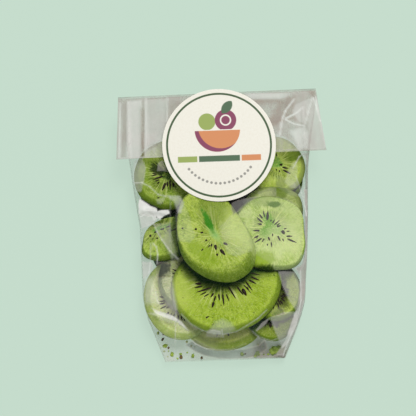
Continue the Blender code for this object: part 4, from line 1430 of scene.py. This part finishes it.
film_material, film_tree, milky = new_material("film_clear")
milk = add_node(film_tree, "ValToRGB", Fac=point_value(film_tree, "tone"))
for tone, _ in MILK_COLOURS[1:-1]:
    milk.color_ramp.elements.new(tone)
for stop, (_, colour) in zip(milk.color_ramp.elements, MILK_COLOURS, strict=True):
    stop.color = from_screen(*colour)
film_spot = object_place(film_tree)
cloud = grain_at(film_spot, 90.0, 4.0, 0.6)
haze = point_value(film_tree, "haze")
milk_share = calculate("MULTIPLY", haze, ramp(cloud, 0.3, 0.75, 0.8, 1.25), clamp=True)
clear = add_node(film_tree, "BsdfTransparent", Color=WHITE).outputs[0]
shine = add_node(film_tree, "BsdfAnisotropic", Color=WHITE, Roughness=0.12)
body = add_node(film_tree, "MixShader", i0=milk_share, i1=clear, i2=milky.outputs[0]).outputs[0]
slant = add_node(film_tree, "Fresnel", IOR=1.4).outputs[0]
slant = calculate("MINIMUM", calculate("SUBTRACT", slant, HEAD_ON_SHINE, clamp=True), MOST_SHINE)
shiny = add_node(film_tree, "MixShader", i0=slant, i1=body, i2=shine.outputs[0]).outputs[0]
fill(film_tree.nodes["Material Output"], Surface=shiny)
fill(milky, Base_Color=milk.outputs["Color"], Specular_IOR_Level=0.2, Roughness=0.3)
crinkle = grain_at(film_spot, 160.0)
for shader in (milky, shine):
    bump(shader, crinkle, 0.25, 0.3 * MM)
film.data.materials.append(film_material)
place(film, "film_with_chips")
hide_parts("bag")
print("the film's material has", len(film_tree.nodes), "nodes")

# %% [markdown]
# ## The label
#
# The label is a 50 mm paper round, stuck to the flap and, below it, to the front. It is modelled flat, as
# a disc with rings of points for bending, and then every point is set down on what lies under it. Its
# print is a design of its own: a green ring, a bowl of round fruit, a green bar and a row of dots. It is
# laid out in the plan view of the label, so its shader reads a UV map.

# %% Model the label
LABEL_RADIUS = 25 * MM
LABEL_MIDDLE = (-0.9 * MM, 35.75 * MM)
LABEL_THICKNESS = 0.3 * MM
LABEL_RINGS = 22
RING_STEP = 1.1 * MM
LABEL_LIFT = 0.75 * MM  # above the flap, so that the label clears its creases
LABEL_DROOP = 1.2  # per metre, times the square of the distance past the flap's end

bpy.ops.object.select_all(action="DESELECT")
bpy.ops.mesh.primitive_circle_add(vertices=128, radius=LABEL_RADIUS, fill_type="NGON")
label = bpy.context.object
label.name = label.data.name = "label_round"
bpy.ops.object.mode_set(mode="EDIT")
for _ in range(LABEL_RINGS):
    bpy.ops.mesh.inset(thickness=RING_STEP)
bpy.ops.object.mode_set(mode="OBJECT")


def under_label(y):
    """The height that the flap, or the front film below it, holds the label at."""
    down = FOLD_Y - y
    flap = fold_middle_z + FOLD_INNER + FLAP_THICKNESS + SLOPE * (down - FOLD_ROOM)
    past = max(0.0, down - FLAP_LENGTH)
    return flap + LABEL_LIFT - LABEL_DROOP * past**2


uv_map = label.data.uv_layers[0]
for loop in label.data.loops:
    point = label.data.vertices[loop.vertex_index].co
    uv_map.data[loop.index].uv = (0.5 + 0.5 * point.x / LABEL_RADIUS, 0.5 + 0.5 * point.y / LABEL_RADIUS)
for vertex in label.data.vertices:
    x, y = vertex.co.x + LABEL_MIDDLE[0], vertex.co.y * math.cos(math.atan(SLOPE)) + LABEL_MIDDLE[1]
    vertex.co = (x, y, under_label(y))
thicken = label.modifiers.new("paper", "SOLIDIFY")
thicken.thickness = LABEL_THICKNESS
thicken.offset = 1
bpy.ops.object.modifier_apply(modifier="paper")
bpy.ops.object.shade_smooth_by_angle(angle=math.radians(40))
clearances = []
for vertex in label.data.vertices:
    row = int(np.argmin(np.abs(ring_y - vertex.co.y)))
    column = int(np.argmin(np.abs(front_x[row] - vertex.co.x)))
    clearances.append(vertex.co.z - film_front_z[row, column])
print("the label clears the front film by", round(min(clearances) / MM, 2), "mm")

# %% The label's print
label_material, label_tree, label_shader = new_material("label_paper")
disc = plan_place(label_tree)
EDGE = 0.006  # of the label's radius is how far the ink's edge blurs


def under(value, limit, blur):
    """The mask of where a value is below a limit."""
    return ramp(value, limit + blur, limit - blur)


def circle(x, y, radius):
    """The mask of a round spot."""
    return under(from_middle(seen_from(disc, (x, y), (radius, radius))), 1, EDGE / radius)


def hoop(radius, half_width):
    """The mask of a ring round the label's middle."""
    return under(calculate("ABSOLUTE", minus(from_middle(disc), radius)), half_width, EDGE / 2)


def without(first, second):
    """One mask with another cut out of it."""
    return times(first, minus(1.0, second))


def below(y):
    """The mask of all that is lower than a line."""
    return under(add_node(label_tree, "SeparateXYZ", Vector=disc).outputs["Y"], y, EDGE / 2)


def bar(x, y, half_width, half_height):
    """The mask of a bar with straight sides."""
    parts = add_node(label_tree, "SeparateXYZ", Vector=seen_from(disc, (x, y), (half_width, half_height)))
    across, along = (calculate("ABSOLUTE", parts.outputs[axis]) for axis in "XY")
    return times(under(across, 1, EDGE / half_width), under(along, 1, EDGE / half_height))


GREEN, ORANGE = from_screen(62, 98, 62), from_screen(216, 138, 82)
PLUM, GREY, OLIVE = from_screen(132, 42, 84), from_screen(150, 148, 140), from_screen(150, 170, 80)
CREAM, DARK_CREAM = from_screen(243, 240, 228), from_screen(238, 234, 220)
RING_GREEN = from_screen(38, 76, 18)
BRIM = 0.275  # the height at which the bowl hides the fruit
BAR_Y, BAR_HALF_HEIGHT = -0.24, 0.052
DOTS, DOT_GAP, DOT_RING, DOT_RADIUS = 17, 6.6, 0.68, 0.024  # their number, gap (degrees), place and size
fibres = grain_at(disc, 26.0, 6.0, 0.7)
print_colour = mix_colours(ramp(fibres, 0.35, 0.7), CREAM, DARK_CREAM)
bowl = times(circle(-0.02, 0.28, 0.4), below(0.26))
for mask, ink in (
    (hoop(0.914, 0.018), RING_GREEN),
    (without(circle(-0.2, 0.42, 0.15), below(BRIM)), OLIVE),
    (without(circle(0.13, 0.44, 0.19), below(BRIM)), PLUM),
    (without(without(circle(0.13, 0.44, 0.1), circle(0.13, 0.44, 0.075)), below(BRIM)), CREAM),
    (times(circle(0.22, 0.62, 0.16), circle(0.1, 0.72, 0.16)), GREEN),
    (bowl, ORANGE),
    (without(bowl, circle(0.04, 0.34, 0.4)), PLUM),
    (bar(-0.56, BAR_Y, 0.17, BAR_HALF_HEIGHT), OLIVE),
    (bar(0.0, BAR_Y, 0.36, BAR_HALF_HEIGHT), GREEN),
    (bar(0.56, BAR_Y, 0.17, BAR_HALF_HEIGHT), ORANGE),
):
    print_colour = mix_colours(mask, print_colour, ink)
for k in range(DOTS):
    angle = math.radians(-90 + (k - DOTS // 2) * DOT_GAP)
    dot = circle(DOT_RING * math.cos(angle), DOT_RING * math.sin(angle), DOT_RADIUS)
    print_colour = mix_colours(dot, print_colour, GREY)
fill(label_shader, Base_Color=print_colour, Roughness=0.55)
bump(label_shader, fibres, 0.12, 0.1 * MM)
label.data.materials.append(label_material)
place(label, "label_paper")
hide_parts("label")
print("the label's print has", len(label_tree.nodes), "nodes")

# %% [markdown]
# ## Crumbs
#
# Bits of dry flesh and loose seeds gather at the foot of the bag. They are small rough lumps, each a few
# faces.

# %% Crumbs
# For each kind of crumb, its two colours, and the middle and the radius of each crumb (mm).
CRUMBS = {
    "crumbs_flesh": ((190, 214, 84), (142, 170, 50), (
        (-31.5, -48, 0.6), (-28.5, -54, 0.85), (-29, -56.5, 0.45), (-27, -56.5, 0.3), (-25.5, -58, 0.8),
        (-27.5, -59, 0.35), (-21.5, -58, 0.5), (-23, -60, 0.35), (-16, -59, 0.65), (-18.5, -57.5, 0.35),
        (6.5, -59, 0.85), (13.5, -59, 0.9), (12.5, -60, 0.55), (14.5, -59.5, 0.35), (16.5, -59.5, 0.3),
        (18.5, -59.5, 0.45), (25.5, -60, 0.35), (20.5, -58, 1.6), (22.5, -57.5, 2), (24.5, -57.5, 1.6),
        (25, -57, 0.75), (20.5, -56.5, 0.4),
    )),
    "crumbs_seed": ((116, 90, 40), (70, 44, 22), (
        (-29, -48.5, 0.7), (-29.5, -51, 0.55), (-27, -55, 0.45), (-21.5, -59.5, 0.7), (-12, -60, 0.5),
        (8, -59, 0.35),
    )),
    "crumbs_dust": ((222, 226, 180), (196, 204, 140), (
        (-18.5, -52.5, 0.5), (-16.5, -54.5, 0.45), (-15, -55, 0.3), (-10, -51.5, 0.25), (-8, -52, 0.25),
        (-8.5, -53, 0.3), (-4.5, -54, 0.25), (-1.5, -53.5, 0.3), (-0.5, -54, 0.25), (-2.5, -55.5, 0.25),
        (5.5, -53.5, 0.3), (-6.5, -55.5, 0.25), (2, -56, 0.25), (14, -55, 0.25), (16, -56, 0.25),
    )),
}
crumb_dice = random.Random(3)
bpy.ops.object.select_all(action="DESELECT")
bpy.ops.mesh.primitive_ico_sphere_add(subdivisions=2, radius=1)
crumb_form = bpy.context.object


def model_crumb(x, y, size, points, faces):
    """Adds one rough lump to the lists of points and faces."""
    first, own = len(points), crumb_dice.uniform(0, 50)
    flat, turn = crumb_dice.uniform(0.45, 0.7), crumb_dice.uniform(0, math.pi)
    stretch = crumb_dice.uniform(1.0, 1.6)
    for vertex in crumb_form.data.vertices:
        lump = noise.noise(vertex.co * 1.7 + Vector((own, 0, 0)))
        chip = noise.noise(vertex.co * 4 + Vector((0, own, 0)))
        point = Vector((vertex.co.x * stretch, vertex.co.y, vertex.co.z * flat))
        point = Matrix.Rotation(turn, 3, "Z") @ (point * (1 + 0.55 * lump + 0.2 * chip) * size * MM)
        points.append(point + Vector((x * MM, y * MM, (0.5 + size * flat) * MM)))
    faces.extend(tuple(first + i for i in p.vertices) for p in crumb_form.data.polygons)


for name, (light, dark, rows) in CRUMBS.items():
    points, faces = [], []
    for row in rows:
        model_crumb(*row, points, faces)
    crumbs = add_piece(name, points, faces)
    shade_smooth(crumbs)
    material, tree, shader = new_material(name)
    tint = ramp(grain_at(object_place(tree), 700.0, 3.0), 0.35, 0.65)
    fill(shader, Base_Color=mix_colours(tint, from_screen(*light), from_screen(*dark)), Roughness=0.6)
    crumbs.data.materials.append(material)
    place(crumbs, "film_with_chips")
    print(name, len(faces), "faces")
bpy.data.objects.remove(crumb_form)
